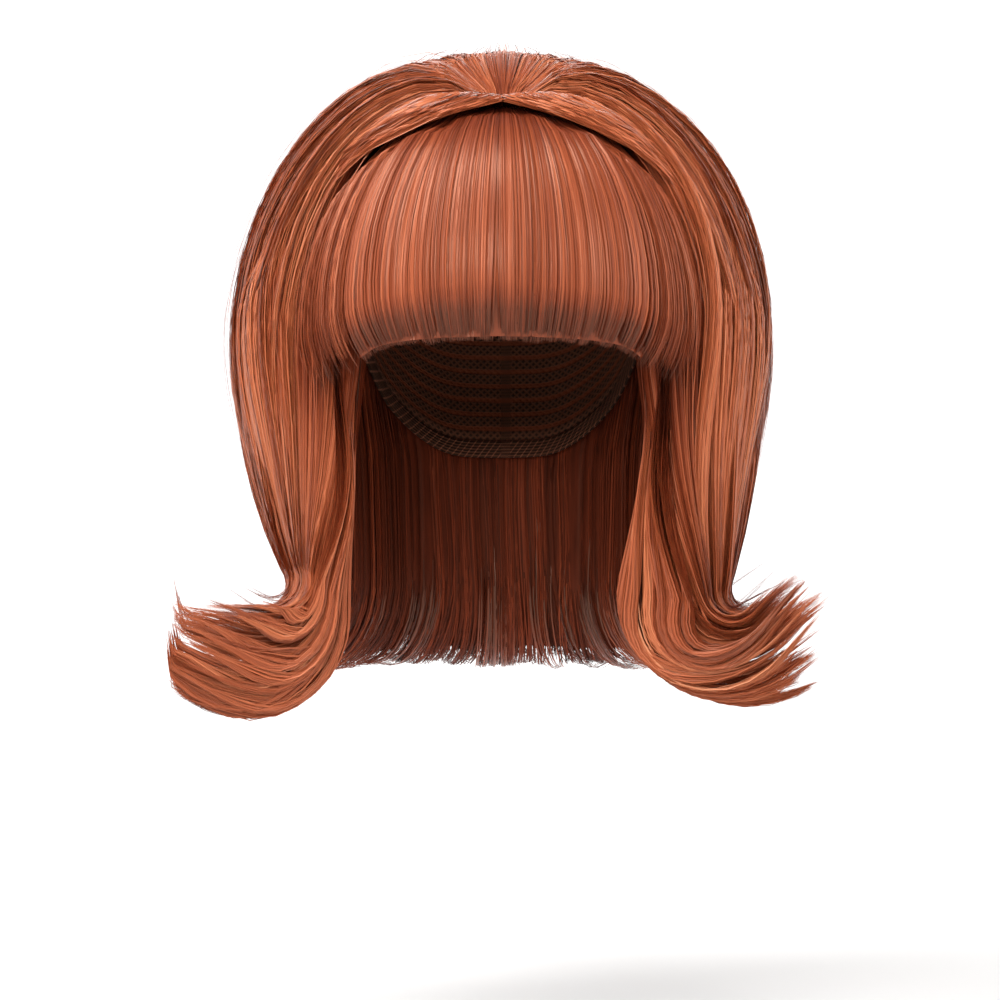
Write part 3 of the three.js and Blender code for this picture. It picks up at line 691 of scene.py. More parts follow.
def fibre_finish(name, gloss, roughness):
    """The fibre, with how much light its surface throws back and how rough it is."""
    look = {"IOR": 1.54, "Specular_IOR_Level": gloss, "Specular_Tint": colour("#f2bda0")}
    material, tree, shader = new_material(name, **look)
    strand = add_node(tree, "SeparateXYZ", links={0: add_node(tree, "UVMap", uv_map="Strand").outputs[0]})
    fine = {"Scale": (10 / STREAK_PITCH / 2, 10 / STREAK_LENGTH, 1)}
    grain = add_node(tree, "Mapping", fine, {"Vector": add_node(tree, "UVMap", uv_map="Grain").outputs[0]})
    noise = {"Scale": 1, "Detail": 3, "Roughness": 0.6}
    streaks = add_node(tree, "TexNoise", noise, {"Vector": grain.outputs[0]})
    spread = {1: STREAK_TINT, 2: -STREAK_TINT / 2}
    varied = add_node(tree, "Math", spread, {0: streaks.outputs["Fac"]}, operation="MULTIPLY_ADD")
    tint = add_node(tree, "Math", links={0: strand.outputs[0], 1: varied.outputs[0]}, operation="ADD")
    copper = add_node(tree, "ValToRGB", links={"Fac": tint.outputs[0]})
    set_stops(copper, (0, "#3a150b"), (0.25, "#76301a"), (0.5, "#a65231"), (0.75, "#c37049"), (1, "#dc9872"))
    tree.links.new(copper.outputs["Color"], shader.inputs["Base Color"])
    rub = {1: 0.2, 2: roughness - 0.1}
    polish = add_node(tree, "Math", rub, {0: streaks.outputs["Fac"]}, operation="MULTIPLY_ADD")
    tree.links.new(polish.outputs[0], shader.inputs["Roughness"])
    bump = add_node(tree, "Bump", {"Strength": 0.35, "Distance": 0.0003}, {"Height": streaks.outputs["Fac"]})
    tree.links.new(bump.outputs[0], shader.inputs["Normal"])
    return material


fibre = fibre_finish("copper_modacrylic_fibre", 0.75, 0.34)
# the low-gloss copy of the fibre, for the shaded inside of the wig
shade_matt_fibre = fibre_finish("shade_matt_modacrylic_fibre", 0.2, 0.6)

UNDER_LOCKS = table("start end", (0, 1), (1, 2), (2, 3), (3, 4), (4, 5))
FACE_START = PINCH_STEPS + CROWN_STEPS * 0.78

# The fan parts into tongues, one under the other: the depths each takes in, the depth its ends draw
# together to and how far they do, how much further than the guide lines they reach out and up and
# the bend below them rises, in mm, how ragged they are, and their share of the clumps.
FAN_TONGUES = {
    LEFT: table(
        "start end middle pinch out up rise ragged part",
        (0, 0.2, 0.12, 0.3, -4, 3, 0, 0.3, 0.16),
        (0.2, 0.6, 0.42, 0.2, 20, 12, 0, 0.12, 0.46),
        (0.6, 1, 0.8, 0.35, 12, 8, 3, 0.1, 0.38),
    ),
    RIGHT: table(
        "start end middle pinch out up rise ragged part",
        (0.02, 0.52, 0.28, 0.75, 12, 12, -6, 0.1, 0.58),
        (0.64, 0.78, 0.7, 0.7, 8, 3, 0, 0.12, 0.2),
        (0.88, 1, 0.95, 0.6, 4, 0, 0, 0.16, 0.22),
    ),
}
FAN_STRANDS = 2500
FAN_CLUMPS = 190
FAN_SINK = 3.5  # how deep the roots of the fan start, under the outside or inside of the hair
FAN_END = 156  # how far out the tips of the left fan reach before they turn up


def spread_tips(lines, side, step, own):
    """Strands with the reach of their own tongues; the left ones turn up where they end."""
    bent = smooth(step, FLIP_START + 2, LINE_STEPS) * np.clip((step - FLIP_START) / FLIP_STEPS, 0, 1)
    lower = smooth(step, FLIP_START - 5, FLIP_START + 8)
    beside = np.abs(unit(lines[:, -1] * [1, 1, 0])[:, :1]) ** 2
    lines[..., 0] += side * bent * own["out"][:, None] * beside
    lines[..., 2] += (bent * own["up"][:, None] + lower * own["rise"][:, None]) * beside
    if side == LEFT:
        over = np.maximum(-lines[..., 0] - FAN_END, 0)
        lines[..., 0] += 0.8 * over
        lines[..., 2] += 0.9 * over
    return lines


def flip_fan(side, count, clumps, rng, points=15):
    """The ends of the hair as a fan of clumps through its whole depth, each drawn to a point."""
    form = lock_form(side, 0, LAST_GUIDE, 0, 1, across=73, tip_keep=1)
    which = rng.integers(0, clumps, count)
    tongues = FAN_TONGUES[side]
    tongue = rng.choice(len(tongues["part"]), clumps, p=tongues["part"])[which]
    own = {name: tongues[name][tongue] for name in tongues}
    t = np.linspace(0, 1, points)
    pull = 1 - 0.85 * t[None, :] ** 2.5
    drift = rng.normal(0, 0.012, clumps)[which][:, None] * t**2
    share = rng.random(clumps)[which][:, None] + rng.normal(0, 0.011, count)[:, None] * pull + drift
    deep = mix(own["start"], own["end"], rng.random(clumps)[which])
    depth = mix(deep[:, None], own["middle"][:, None], own["pinch"][:, None] * t**2)
    depth = depth + rng.normal(0, 0.04, count)[:, None] * pull
    depth = depth + rng.normal(0, 0.03, clumps)[which][:, None] * t**2
    reach = 1 - own["ragged"] * rng.random(clumps)[which] - 0.06 * rng.random(count) ** 2
    step = FLIP_START - 9 + (FLIP_STEPS + 9) * t * reach[:, None]
    face, back = sample(form["face"], share, step), sample(form["back"], share, step)
    lines = mix(face, back, np.clip(depth, -0.03, 1.02)[..., None])
    inner = smooth(deep, 0.3, 0.8)[:, None]
    sunk = FAN_SINK * (1 - 2 * inner) * (1 - smooth(t, 0.1, 0.45))
    lines = lines - unit(face - back) * sunk[..., None]
    lines = spread_tips(lines, side, step, own)
    ahead = unit(sample(form["face"], share - 0.03, step) - sample(form["face"], share + 0.03, step))
    out = unit(mix(unit(face - back), ahead, 0.85 * (1 - smooth(share * LAST_GUIDE, 1.5, 3.5))[..., None]))
    tint = rng.normal(0.5, 0.08, clumps)[which] + rng.normal(0, 0.06, count)
    # painted shade: strands towards the back of the hair are tinted darker, and the inner ones darker near
    # their roots
    tint = tint - 0.22 * smooth(share[:, 0], 0.55, 0.85)
    tint = tint[:, None] - 0.36 * inner * (1 - smooth(t, 0.3, 0.8))
    return ribbons(lines, out, rng.uniform(0.35, 0.8, count), tint, rng, roll=0.5)


# Thin pointed ends that part from the outside of a flip and hook up above it: how many, how many
# strands in each, and the least and the most they turn and their ends reach.
WISPS = {
    LEFT: {"clumps": 9, "each": 8, "turn": (95, 125), "tip": (6, 14), "radius": (9, 15)},
    RIGHT: {"clumps": 12, "each": 12, "turn": (112, 136), "tip": (16, 28), "radius": (7, 13)},
}
WISP_SINK = 2.5  # how deep their roots lie in the flip


def wisps(side, rng, clumps, each, turn, tip, radius):
    """The wisps above one flip."""
    form = lock_form(side, 1.2, 3.4, 0, 1, across=25, tip_keep=1)
    which = np.repeat(np.arange(clumps), each)
    share = rng.random(clumps)
    start = sample(form["face"], share, rng.uniform(FLIP_START, FLIP_START + 3, clumps))
    start = start - unit(start - GATHER) * [1, 1, 0] * WISP_SINK
    az = column_at(GUIDES, "flip_az", GUIDES["flip_az"][1] + 12 * share, "flip_az")
    bend = [rng.uniform(*span, clumps) for span in (radius, turn, tip)]
    lines = flip_lines(start, -0.15 + 0 * share, side, az, *bend)[which]
    t = np.linspace(0, 1, lines.shape[1])
    spread = rng.normal(0, 0.9, (clumps * each, 1, 3)) * (1 - 0.9 * t**1.5)[:, None]
    out = unit(lines - start[which][:, None] + [0, 0, -30])
    tint = rng.normal(0.45, 0.07, clumps * each)
    return ribbons(lines + spread, out, rng.uniform(0.3, 0.6, clumps * each), tint, rng, tip=0.6)


CORE_END = FLIP_START + 9  # the cores end in the flip, where the strands go on alone
# The under layer's strands are tinted dark, as painted shade for the inside of the wig.
UNDER_LOOK = {"deep": (0, 2), "tint": (0.12, 0.06), "points": 18}
FACE_CORE = 0.4  # the cores of the face locks stay this far back, so that only strands show

rng = np.random.default_rng(41)
for side, name in SIDE_NAMES.items():
    parts = [flip_fan(side, FAN_STRANDS, FAN_CLUMPS, rng), wisps(side, rng, **WISPS[side])]
    add_piece(f"flip_ends_{name}", *join(parts), fibre)
    parts = []
    for start, end in zip(UNDER_LOCKS["start"], UNDER_LOCKS["end"]):
        form = lock_form(side, start, end, OVER_SHARE, 1)
        root = FACE_START if start < 1 else PINCH_STEPS + 10
        core = lock_form(side, max(start, FACE_CORE), end, OVER_SHARE, 1)
        # painted shade: the cores are tinted near black and the strands dark inside, with their tips tinted
        # lighter, as painted light, where they come out in the flips
        parts.append(lock_core(core, root, CORE_END, 0.06, rng, across=14, along=30))
        parts.append(comb(form, 150, 8, rng, root, inward=True, fade=-0.3, painted_root_shade=(0, 1), **UNDER_LOOK))
    nodes = [f"{name}_under_face_lock"] + [f"{name}_under_lock_{i}" for i in (1, 2, 3, 4)]
    add_piece(f"under_hair_{name}", *join(parts), shade_matt_fibre, nodes)

form = lock_form(RIGHT, 5, 7, OVER_SHARE, 1, across=49)
parts = [lock_core(form, PINCH_STEPS + 10, CORE_END, 0.06, rng, across=32, along=30)]
parts.append(comb(form, 420, 18, rng, PINCH_STEPS + 10, inward=True, **UNDER_LOOK))
# painted shade: the outer strands of the back are tinted dark, darker still at their roots, and lighter at
# their tips
look = {"deep": (0, 3), "tint": (0.16, 0.07), "points": 16, "fade": -0.2, "painted_root_shade": (0.14, 0.7)}
parts.append(comb(form, 260, 16, rng, FLIP_START - 10, **look))
add_piece("under_back_hair", *join(parts), shade_matt_fibre, ["under_back_lock"])

# The top layer
# Long copper wefts combed back from the gather over the cushion of height, which fall down the
# sides and the back in broad locks and turn outwards in the flips.
LOCK_BULGE = 2.6  # how far a lock's middle stands out of the form
TOP_LOCKS = table(
    "start end left right curl reach",
    (2, 2.5, -0.3, 0.6, 2, 0.9),
    (2.5, 3, 0.4, -0.2, 8, 1.2),
    (3, 3.6, -0.2, 0.3, 0, 0.8),
    (3.6, 4.2, 0.3, -0.2, 10, 1.3),
    (4.2, 4.8, -0.2, 0.3, 2, 0.8),
    (4.8, 5.4, 0.2, -0.2, 10, 1.3),
)


def top_lock(side, row, rng, count, clumps, thick_tips, shaded_core_tint=0.34, press=None, **look):
    """The core and the strands of one lock of the top layer."""
    lift = row[SIDE_NAMES[side]] * LOCK_BULGE
    form, core = [
        lock_form(side, start, row["end"], 0, OVER_SHARE, lift, LOCK_BULGE, row["curl"], row["reach"])
        for start in (row["start"], max(row["start"], FACE_CORE))
    ]
    root = FACE_START if row["start"] < 1 else 0
    parts = [
        # the core's tint is painted shade between the strands
        lock_core(core, max(root, PINCH_STEPS + 2), CORE_END, shaded_core_tint, rng, sink=1.8, press=press),
        comb(form, count, clumps, rng, root, press=press, **look),
    ]
    if thick_tips:
        look["painted_root_shade"] = (0, 1)
        look["deep"] = (1, 8)
        parts.append(comb(form, thick_tips, clumps + 2, rng, FLIP_START - 4, points=14, ragged=0.22, **look))
    return parts


def rows_of(rows):
    """The rows of a table, one at a time."""
    names = list(rows)
    return [dict(zip(names, values)) for values in zip(*rows.values())]


rng = np.random.default_rng(42)
for side, name in SIDE_NAMES.items():
    # The crown strands are tinted lighter than the fringe, as painted light on the top of the hair, and their
    # roots darker by the gather, as painted shade.
    look = {"deep": (0, 1.1), "lift": 0.35, "tint": (0.57, 0.08), "painted_root_shade": (0.18, 0.08)}
    parts = [part for row in rows_of(TOP_LOCKS) for part in top_lock(side, row, rng, 322, 11, 40, **look)]
    add_piece(f"crown_hair_{name}", *join(parts), fibre, [f"{name}_crown_lock_{i}" for i in range(1, 7)])

form = lock_form(RIGHT, 5.4, 6.6, 0, OVER_SHARE, bulge=LOCK_BULGE / 2, curl=2, reach=0.9)
parts = [
    lock_core(form, PINCH_STEPS + 2, CORE_END, 0.3, rng, across=28),
    comb(form, 760, 24, rng, points=23),
    comb(form, 130, 14, rng, FLIP_START - 4, deep=(1, 8), points=14, ragged=0.22, painted_root_shade=(0, 1)),
]
add_piece("back_hair", *join(parts), fibre, ["back_lock"])

# The fringe
# A full straight fringe of shorter copper wefts. It fans out from the gather over the brow, is
# cut level and set with a slight turn inwards at its lower edge.
FRINGE_DROP = 115  # its lower edge below the crown of the head
FRINGE_FULL_DROP = 84  # the level where it stands out furthest
FRINGE_THICKNESS = 12
FRINGE_EDGE = 5  # its thickness at its lower edge
FRINGE_TURN_IN = 0.95  # its lower edge, as a share of its fullest reach
FRINGE_PEAK = 0.16  # its height at the gather, as a share of BEEHIVE_RISE
FRINGE_HALF_ANGLE = 50
FRINGE_LOCKS = 7
FRINGE_HANG_STEPS = 10
FRINGE_ENDS = table("az drop", (0, 1), (22, 1.01), (32, 1.04), (41, 1.14), (50, 1.24))


def fringe_form(start, end, across=25):
    """The face and the back of a lock of the fringe, between two angles from its middle."""
    az = np.linspace(start, end, across)
    angle = np.abs(az)
    full = mix(FRINGE_FULL_DROP, WIDEST_DROP, (angle / FRINGE_HALF_ANGLE) ** 2)
    low = column_at(FRINGE_ENDS, "az", angle, "drop") * FRINGE_DROP
    side = np.where(az < 0, -1, 1)
    crown = crown_lines(outline_point(side, angle, 1, -full), 0 * az + FRINGE_PEAK)
    t = np.linspace(0, 1, FRINGE_HANG_STEPS + 1)[1:]
    turned = angle[:, None] * mix(1, FRINGE_TURN_IN, t)
    z = -mix(full[:, None], low[:, None], t)
    hang = outline_point(side[:, None], turned, mix(1, FRINGE_TURN_IN, t * t), z)
    outer = np.concatenate([crown, hang], 1)
    bed = inside_of(outer, HAIR_INSIDE)
    depth = np.linalg.norm(outer - bed, axis=-1)
    t = np.linspace(0, 1, outer.shape[1])
    sheet = np.minimum(depth, mix(FRINGE_THICKNESS, FRINGE_EDGE, t * t))
    back = mix(outer, bed, (mix(depth, sheet, smooth(t, 0.35, 0.7)) / depth)[..., None])
    return {"face": outer, "back": back, "side": 1}


# The front edge of the sweeps lies over the roots of the fringe: the angles from the face of its
# lower and upper edge, from the gather to the hair's widest level.
SWEEP_EDGE = table(
    "along low high",
    (0, -6, 60),
    (0.2, -4, 60),
    (0.28, 3, 60),
    (0.35, 21, 62),
    (0.42, 37, 66),
    (0.54, 50, 70),
    (0.66, 57, 74),
    (0.85, 62, 78),
    (1, 66, 80),
)
FRINGE_HOLLOW = 4.5  # how far the fringe is pressed in beneath that edge
FRINGE_CURL = 8  # how far its ends turn in beyond its own form
ROOT_SINK = 4  # how far its roots are pressed in at the gather
FRINGE_STEPS = PINCH_STEPS + CROWN_STEPS + 1 + FRINGE_HANG_STEPS
rng = np.random.default_rng(45)
parts = []
for i in range(FRINGE_LOCKS):
    start = mix(-FRINGE_HALF_ANGLE, FRINGE_HALF_ANGLE, i / FRINGE_LOCKS)
    form = fringe_form(start, start + 2 * FRINGE_HALF_ANGLE / FRINGE_LOCKS)

    def pressed(share, step, start=start):
        """How far a strand is pressed in beneath the sweeps, and turned in at its end."""
        angle = np.abs(start + 2 * FRINGE_HALF_ANGLE / FRINGE_LOCKS * share)
        along = np.clip((step - PINCH_STEPS) / CROWN_STEPS, 0, 1)
        low = column_at(SWEEP_EDGE, "along", along, "low")
        hollow = FRINGE_HOLLOW * smooth(angle - low, -9, 1) * smooth(along, 0.15, 0.4)
        curl = FRINGE_CURL * smooth(step, FRINGE_STEPS - 11, FRINGE_STEPS + 3) ** 2
        curl = curl * (1 - smooth(angle, 36, 46))
        return hollow + curl + ROOT_SINK * (1 - smooth(along, 0.15, 0.4))

    outer = i in (0, FRINGE_LOCKS - 1)
    end = FRINGE_STEPS - (7 if outer else 2)
    size = {"across": 16, "along": 30}
    # painted shade: the fringe is tinted darker than the crown overall, its core darker still between the
    # strands, its ends darker where they turn under and its roots darker under the sweeps
    parts.append(lock_core(form, PINCH_STEPS + 3, end, 0.2, rng, sink=2.2, press=pressed, **size))
    hung = {"last": FRINGE_STEPS - 1, "swing": 0, "press": pressed}
    look = {"points": 18, "pull": 0.2, "lift": 0.2, "tint": (0.36, 0.03), "painted_root_shade": (0.28, 0.5)}
    cut = {"ragged": 0.16, "fade": 0.1, "tip": 0.5} if outer else {"ragged": 0.02, "fade": 0.26, "tip": 0.1}
    parts.append(comb(form, 380, 9, rng, **hung, **look, **cut))
    look = {"points": 12, "ragged": 0.05, "lift": 0.3, "fade": 0.3, "tint": (0.34, 0.05)}
    parts.append(comb(form, 60, 8, rng, PINCH_STEPS + 16, deep=(1, 5), **hung, **look))
add_piece("fringe", *join(parts), fibre, [f"fringe_lock_{i}" for i in range(1, FRINGE_LOCKS + 1)])

# The temple sweeps
# Three narrower locks on each side, swept back from the gather along the edge of the fringe. They
# stand apart there, with dark gaps between them, partly in real shade and partly painted shade where
# their dark cores show, and fall in front of the crown hair.
SWEEPS = table(
    "start end left right curl reach",
    (1, 1.3, 0.3, -0.7, 8, 1.1),
    (1.3, 1.6, -0.8, 0.9, 0, 0.8),
    (1.6, 2, 0.6, -0.5, 10, 1.1),
)

SWEEP_LIFT = 7  # how far their rolled front edge stands over the root of the fringe

# Loose locks that lie over the side hair: their places between the guide lines at the gather, the
# temple, the cheek and the tip, half their width in places, how far they stand out, and their
# tint and reach.
LOOSE_LOCKS = {
    LEFT: table(
        "root temple cheek tip wide lift tint reach",
        (1.6, 1.5, 1.1, 0.9, 0.16, 3, 0.6, 1),
        (2.4, 2.1, 1.9, 1.2, 0.14, 3.5, 0.45, 0.97),
        (2.9, 2.8, 2.5, 2.3, 0.16, 3, 0.58, 0.95),
        (1.3, 1.1, 1.3, 0.6, 0.12, 4.5, 0.66, 0.98),
        (3.6, 3.5, 3.1, 3.2, 0.2, 2.5, 0.5, 1),
        (3.2, 2.5, 3.3, 2.2, 0.05, 4.5, 0.6, 0.96),
        (2.2, 3.1, 2.3, 2.9, 0.06, 4, 0.52, 0.94),
        (2.0, 1.5, 2.4, 1.6, 0.1, 5, 0.4, 0.97),
    ),
    RIGHT: table(
        "root temple cheek tip wide lift tint reach",
        (1.2, 1.25, 1.9, 0.9, 0.14, 4.5, 0.62, 1),
        (1.7, 1.6, 1.35, 1.3, 0.12, 4, 0.68, 1),
        (2.2, 2.0, 2.1, 1.8, 0.15, 3.5, 0.5, 0.96),
        (2.9, 2.6, 2.4, 2.5, 0.16, 3, 0.6, 0.93),
        (1.5, 1.1, 0.7, 0.5, 0.12, 5, 0.6, 0.97),
        (3.7, 3.5, 3.4, 3.2, 0.2, 2.5, 0.5, 1),
        (3.0, 2.4, 3.1, 2.3, 0.05, 4.5, 0.6, 0.92),
        (1.9, 2.5, 1.6, 2.2, 0.1, 6, 0.66, 0.95),
        (2.4, 1.6, 2.5, 1.4, 0.1, 5.5, 0.4, 0.97),
    ),
}
LOOSE_STRANDS = 720  # strands in a lock one place wide
FIRST_PLACE = 0.4
LAST_PLACE = 6.6


def side_form(side):
    """The whole outside of one side's hair, unlocked."""
    return lock_form(side, FIRST_PLACE, LAST_PLACE, 0, 1, LOCK_BULGE * 0.7, across=125, tip_keep=1)


def share_of(place):
    """The share across a side's form of a place between the guide lines."""
    return (place - FIRST_PLACE) / (LAST_PLACE - FIRST_PLACE)


def front_sweep(side, rng, count=620, clumps=11, points=24):
    """The rolled front edge of the sweeps, which leaves a dark gap over the fringe."""
    over = fringe_form(0, side * 90, across=91)
    t = np.linspace(0, 1, points)
    step = (LINE_STEPS - 1) * t * rng.uniform(0.86, 1, count)[:, None]
    along = np.clip((step - PINCH_STEPS) / CROWN_STEPS, 0, 1)
    which = rng.integers(0, clumps, count)
    share = (which + 0.5 + 0.75 * (rng.random(count) + rng.random(count) - 1)) / clumps
    share = share[:, None] + (rng.normal(0, 0.25, clumps) / clumps)[which][:, None] * t
    low, high = [column_at(SWEEP_EDGE, "along", along, edge) for edge in ("low", "high")]
    angle = mix(low, high, share)
    front = sample(over["face"], angle / 90, np.minimum(step, PINCH_STEPS + CROWN_STEPS))
    out_front = unit(front - np.array([0, 0, -CROWN_HEIGHT]))
    side_face, side_out = outside(side_form(side), share_of(mix(1.02, 1.95, share)), step)
    turned = smooth(along, 0.55, 1)[..., None]
    roll = SWEEP_LIFT * np.sin(np.pi * np.clip(share * 0.55 + 0.14, 0, 1)) * smooth(along, 0, 0.25)
    clump_lift = rng.normal(0, 0.7, clumps)[which][:, None] * smooth(t, 0.1, 0.4)
    lift = roll * mix(1, 0.55, smooth(t, 0.4, 0.8)) + clump_lift
    lift = lift * (1 - smooth(step, FLIP_START - 14, FLIP_START - 2)) - rng.uniform(0, 1.6, count)[:, None]
    out = unit(mix(out_front, side_out, turned))
    lines = mix(front, side_face, turned) + out * lift[..., None]
    tint = rng.normal(0.57, 0.06, clumps)[which] + rng.normal(0, 0.07, count)
    return ribbons(lines, out, rng.uniform(*WIDTHS, count), tint, rng)


def loose_lock(side, row, rng, points=26):
    """One loose lock, drawn in at its root and its tip."""
    count = int(LOOSE_STRANDS * row["wide"])
    t = np.linspace(0, 1, points)
    nodes = {"place": np.array([row["root"], row["temple"], row["cheek"], row["tip"]])}
    centre = smooth_column(nodes, t * 3, "place")
    off = rng.random(count) + rng.random(count) - 1
    wide = row["wide"] * (0.55 + 0.45 * np.sin(np.pi * t)) * (1 - 0.75 * t**4)
    place = centre + off[:, None] * wide + 0.03 * np.sin(rng.uniform(3, 7, count)[:, None] * t)
    step = (LINE_STEPS - 1) * row["reach"] * t * (1 - 0.1 * rng.random(count)[:, None] ** 2)
    face, out = outside(side_form(side), share_of(place), step)
    held = smooth(t, 0, 0.3) * (1 - smooth(step, FLIP_START - 14, FLIP_START - 2))
    lift = row["lift"] * held * (1 - off[:, None] ** 2) - rng.uniform(0, 1.5, count)[:, None]
    tint = row["tint"] + rng.normal(0, 0.07, count)
    return ribbons(face + out * lift[..., None], out, rng.uniform(*WIDTHS, count), tint, rng)


rng = np.random.default_rng(43)
for side, name in SIDE_NAMES.items():
    # painted shade: the cores are tinted dark, so that the gaps between the clumps read as shade
    look = {"lift": 1, "swing": 0.18, "pull": 0.75, "tint": (0.54, 0.1)}
    parts = [part for row in rows_of(SWEEPS) for part in top_lock(side, row, rng, 215, 6, 30, 0.14, **look)]
    parts.append(front_sweep(side, rng))
    parts += [loose_lock(side, row, rng) for row in rows_of(LOOSE_LOCKS[side])]
    add_piece(f"temple_sweeps_{name}", *join(parts), fibre, [f"{name}_temple_sweep_{i}" for i in (1, 2, 3)])

# The face locks
# The front lock of each side, which comes out from under the end of the fringe, frames the face
# and ends in the innermost curve of the flip.
FACE_LOCKS = table("start end left right curl reach", (0, 1, 0, 0, 4, 1))
FRINGE_SHADOW = 6  # how far the hair is pressed in beneath the end of the fringe


def front_hair(side, rng, count=820, clumps=17, points=24):
    """The hair along the front of a side, from its outside to its inside, in soft long waves."""
    form = lock_form(side, 0, 1, 0, 1, across=25, tip_keep=1)
    which = rng.integers(0, clumps, count)
    t = np.linspace(0, 1, points)
    centre = (rng.permutation(clumps) + 0.5) / clumps
    off = rng.random(count) + rng.random(count) - 1
    pull = 1 - 0.75 * t**2
    phase = rng.uniform(0, FULL_TURN, clumps)[which][:, None]
    wave = np.sin(9 * t + phase * 0.25) * smooth(t, 0.1, 0.4) * (1 - smooth(t, 0.75, 1))
    drift = rng.normal(0, 0.1, clumps)[which][:, None] * t**1.5
    depth = centre[which][:, None] + off[:, None] * pull * 0.085 + 0.15 * wave + drift
    reach = (1 - 0.16 * rng.random(clumps))[which] * (1 - 0.12 * rng.random(count) ** 2)
    step = FACE_START + (LINE_STEPS - 1 - FACE_START) * t * reach[:, None]
    tongues = FAN_TONGUES[side]
    tongue = np.clip(np.searchsorted(tongues["start"], centre, side="right") - 1, 0, None)[which]
    own = {name: tongues[name][tongue] for name in tongues}
    depth = mix(depth, own["middle"][:, None], own["pinch"][:, None] * smooth(t, 0.6, 1) * 0.8)
    share = np.abs(rng.normal(0, 0.03, count))[:, None] + 0 * t
    near, far = [
        mix(sample(form["face"], x, step), sample(form["back"], x, step), np.clip(depth, 0, 1)[..., None])
        for x in (share, share + 0.2)
    ]
    out = unit(near - far)
    lift = rng.uniform(0, 7.5, clumps)[which][:, None] * smooth(t, 0.15, 0.5) + 2.2 * (1 - off[:, None] ** 2)
    lift = lift - rng.uniform(0, 1.5, count)[:, None] - FRINGE_SHADOW * (1 - smooth(t, 0.2, 0.42))
    lines = spread_tips(near + out * lift[..., None], side, step, own)
    tint = rng.normal(0.48, 0.12, clumps)[which] + rng.normal(0, 0.07, count)
    # painted shadow: the strands are tinted darker where they come out from under the end of the fringe
    tint = tint[:, None] - 0.4 * (1 - smooth(t, 0.2, 0.4))
    return ribbons(lines, out, rng.uniform(*WIDTHS, count), tint, rng)


def under_fringe(share, step):
    """How far the face lock is pressed in where it comes out from under the fringe."""
    return FRINGE_SHADOW * (1 - smooth(step, FACE_START + 9, FACE_START + 18)) * (1 - smooth(share, 0.35, 1))


rng = np.random.default_rng(44)
for side, name in SIDE_NAMES.items():
    # painted shade: the face lock's roots are tinted darker under the end of the fringe, and its core dark
    # between the strands
    look = {"lift": 1, "swing": 0.1, "pull": 0.75, "tint": (0.48, 0.1), "painted_root_shade": (0.4, 0.36)}
    parts = top_lock(side, rows_of(FACE_LOCKS)[0], rng, 420, 9, 0, 0.12, press=under_fringe, **look)
    parts.append(front_hair(side, rng))
    add_piece(f"face_hair_{name}", *join(parts), fibre, [f"{name}_face_lock"])

# The gather
# The pinch where the crown hair is caught behind the fringe: a tight little turn of its own
# fibres wound over the roots, sunk in the hair so that only a dark slit and a few turns show.
KNOT_RADIUS = 3.4
KNOT_TURN = 4.158  # how far its fibres go round, in radians
rng = np.random.default_rng(46)
count = 90
t = np.linspace(0, 1, 18)
lean = rng.uniform(0, FULL_TURN, count)[:, None]
turn = lean + KNOT_TURN * t
radius = KNOT_RADIUS * (0.35 + 0.65 * np.sin(np.pi * (0.15 + 0.8 * t))) * rng.uniform(0.6, 1, count)[:, None]
height = mix(-13, 0.4, t) - rng.uniform(0, 1.2, count)[:, None]
lines = GATHER + np.stack([radius * np.cos(turn), radius * np.sin(turn), height], -1)
out = unit(lines - GATHER - np.array([0, 0, 1]) * (height[..., None] - 0.5))
# painted shade: the knot's fibres are tinted darker than the hair round them, for the dark slit of the pinch
parts = [ribbons(lines, out, rng.uniform(0.5, 0.9, count), rng.normal(0.3, 0.06, count), rng)]
add_piece("gather_pinch", *join(parts), fibre, ["gather_knot"])

# The flyaway hairs
# Single fibres that have come out of the combing and stand a few millimetres off the hair. They
# hang from the same wefts, and break up the outline at the crown, the sides and the flips.
FLYAWAYS = 240
rng = np.random.default_rng(47)
for side, name in SIDE_NAMES.items():
    form = side_form(side)
    count = FLYAWAYS
    t = np.linspace(0, 1, 20)
    start = rng.uniform(0, 0.45, count)
    length = rng.uniform(0.25, 0.6, count)
    step = (LINE_STEPS - 1) * np.minimum(start[:, None] + length[:, None] * t, 1)
    share = rng.uniform(0.02, 0.98, count)[:, None] + rng.normal(0, 0.02, count)[:, None] * t**2
    face, out = outside(form, share, step)
    calm = 1 - 0.8 * smooth(step, FLIP_START - 18, FLIP_START - 4)
    stand = rng.uniform(1, 9, count)[:, None] * np.sin(np.pi * t * rng.uniform(0.5, 1, count)[:, None])
    rate, phase = rng.uniform(2, 7, (count, 1, 3)), rng.uniform(0, FULL_TURN, (count, 1, 3))
    wander = rng.uniform(0.5, 3, (count, 1, 1)) * np.sin(rate * t[:, None] + phase) * t[:, None]
    lines = face + (out * stand[..., None] + wander) * calm[..., None]
    strands = ribbons(lines, out, rng.uniform(0.2, 0.36, count), rng.normal(0.45, 0.1, count), rng)
    add_piece(f"flyaway_hairs_{name}", *strands, fibre)

# The studio
# A plain pale floor under the wig, which stays up in the air at the height where it is worn, a
# round wall of paper behind it that glows by itself as painted light, and broad soft lights in front
# and at the sides. The sizes and places of the studio are in metres, in Blender's own units.
FLOOR_LEVEL = -0.45
FLOOR_RADIUS = 3
COVE_RADIUS = 1.2  # the round corner between the floor and the wall
WALL_HEIGHT = 5
STUDIO_SIDES = 64
PAPER_GRAIN = 0.03  # how far the fibres of the paper vary its glow
scene = bpy.context.scene

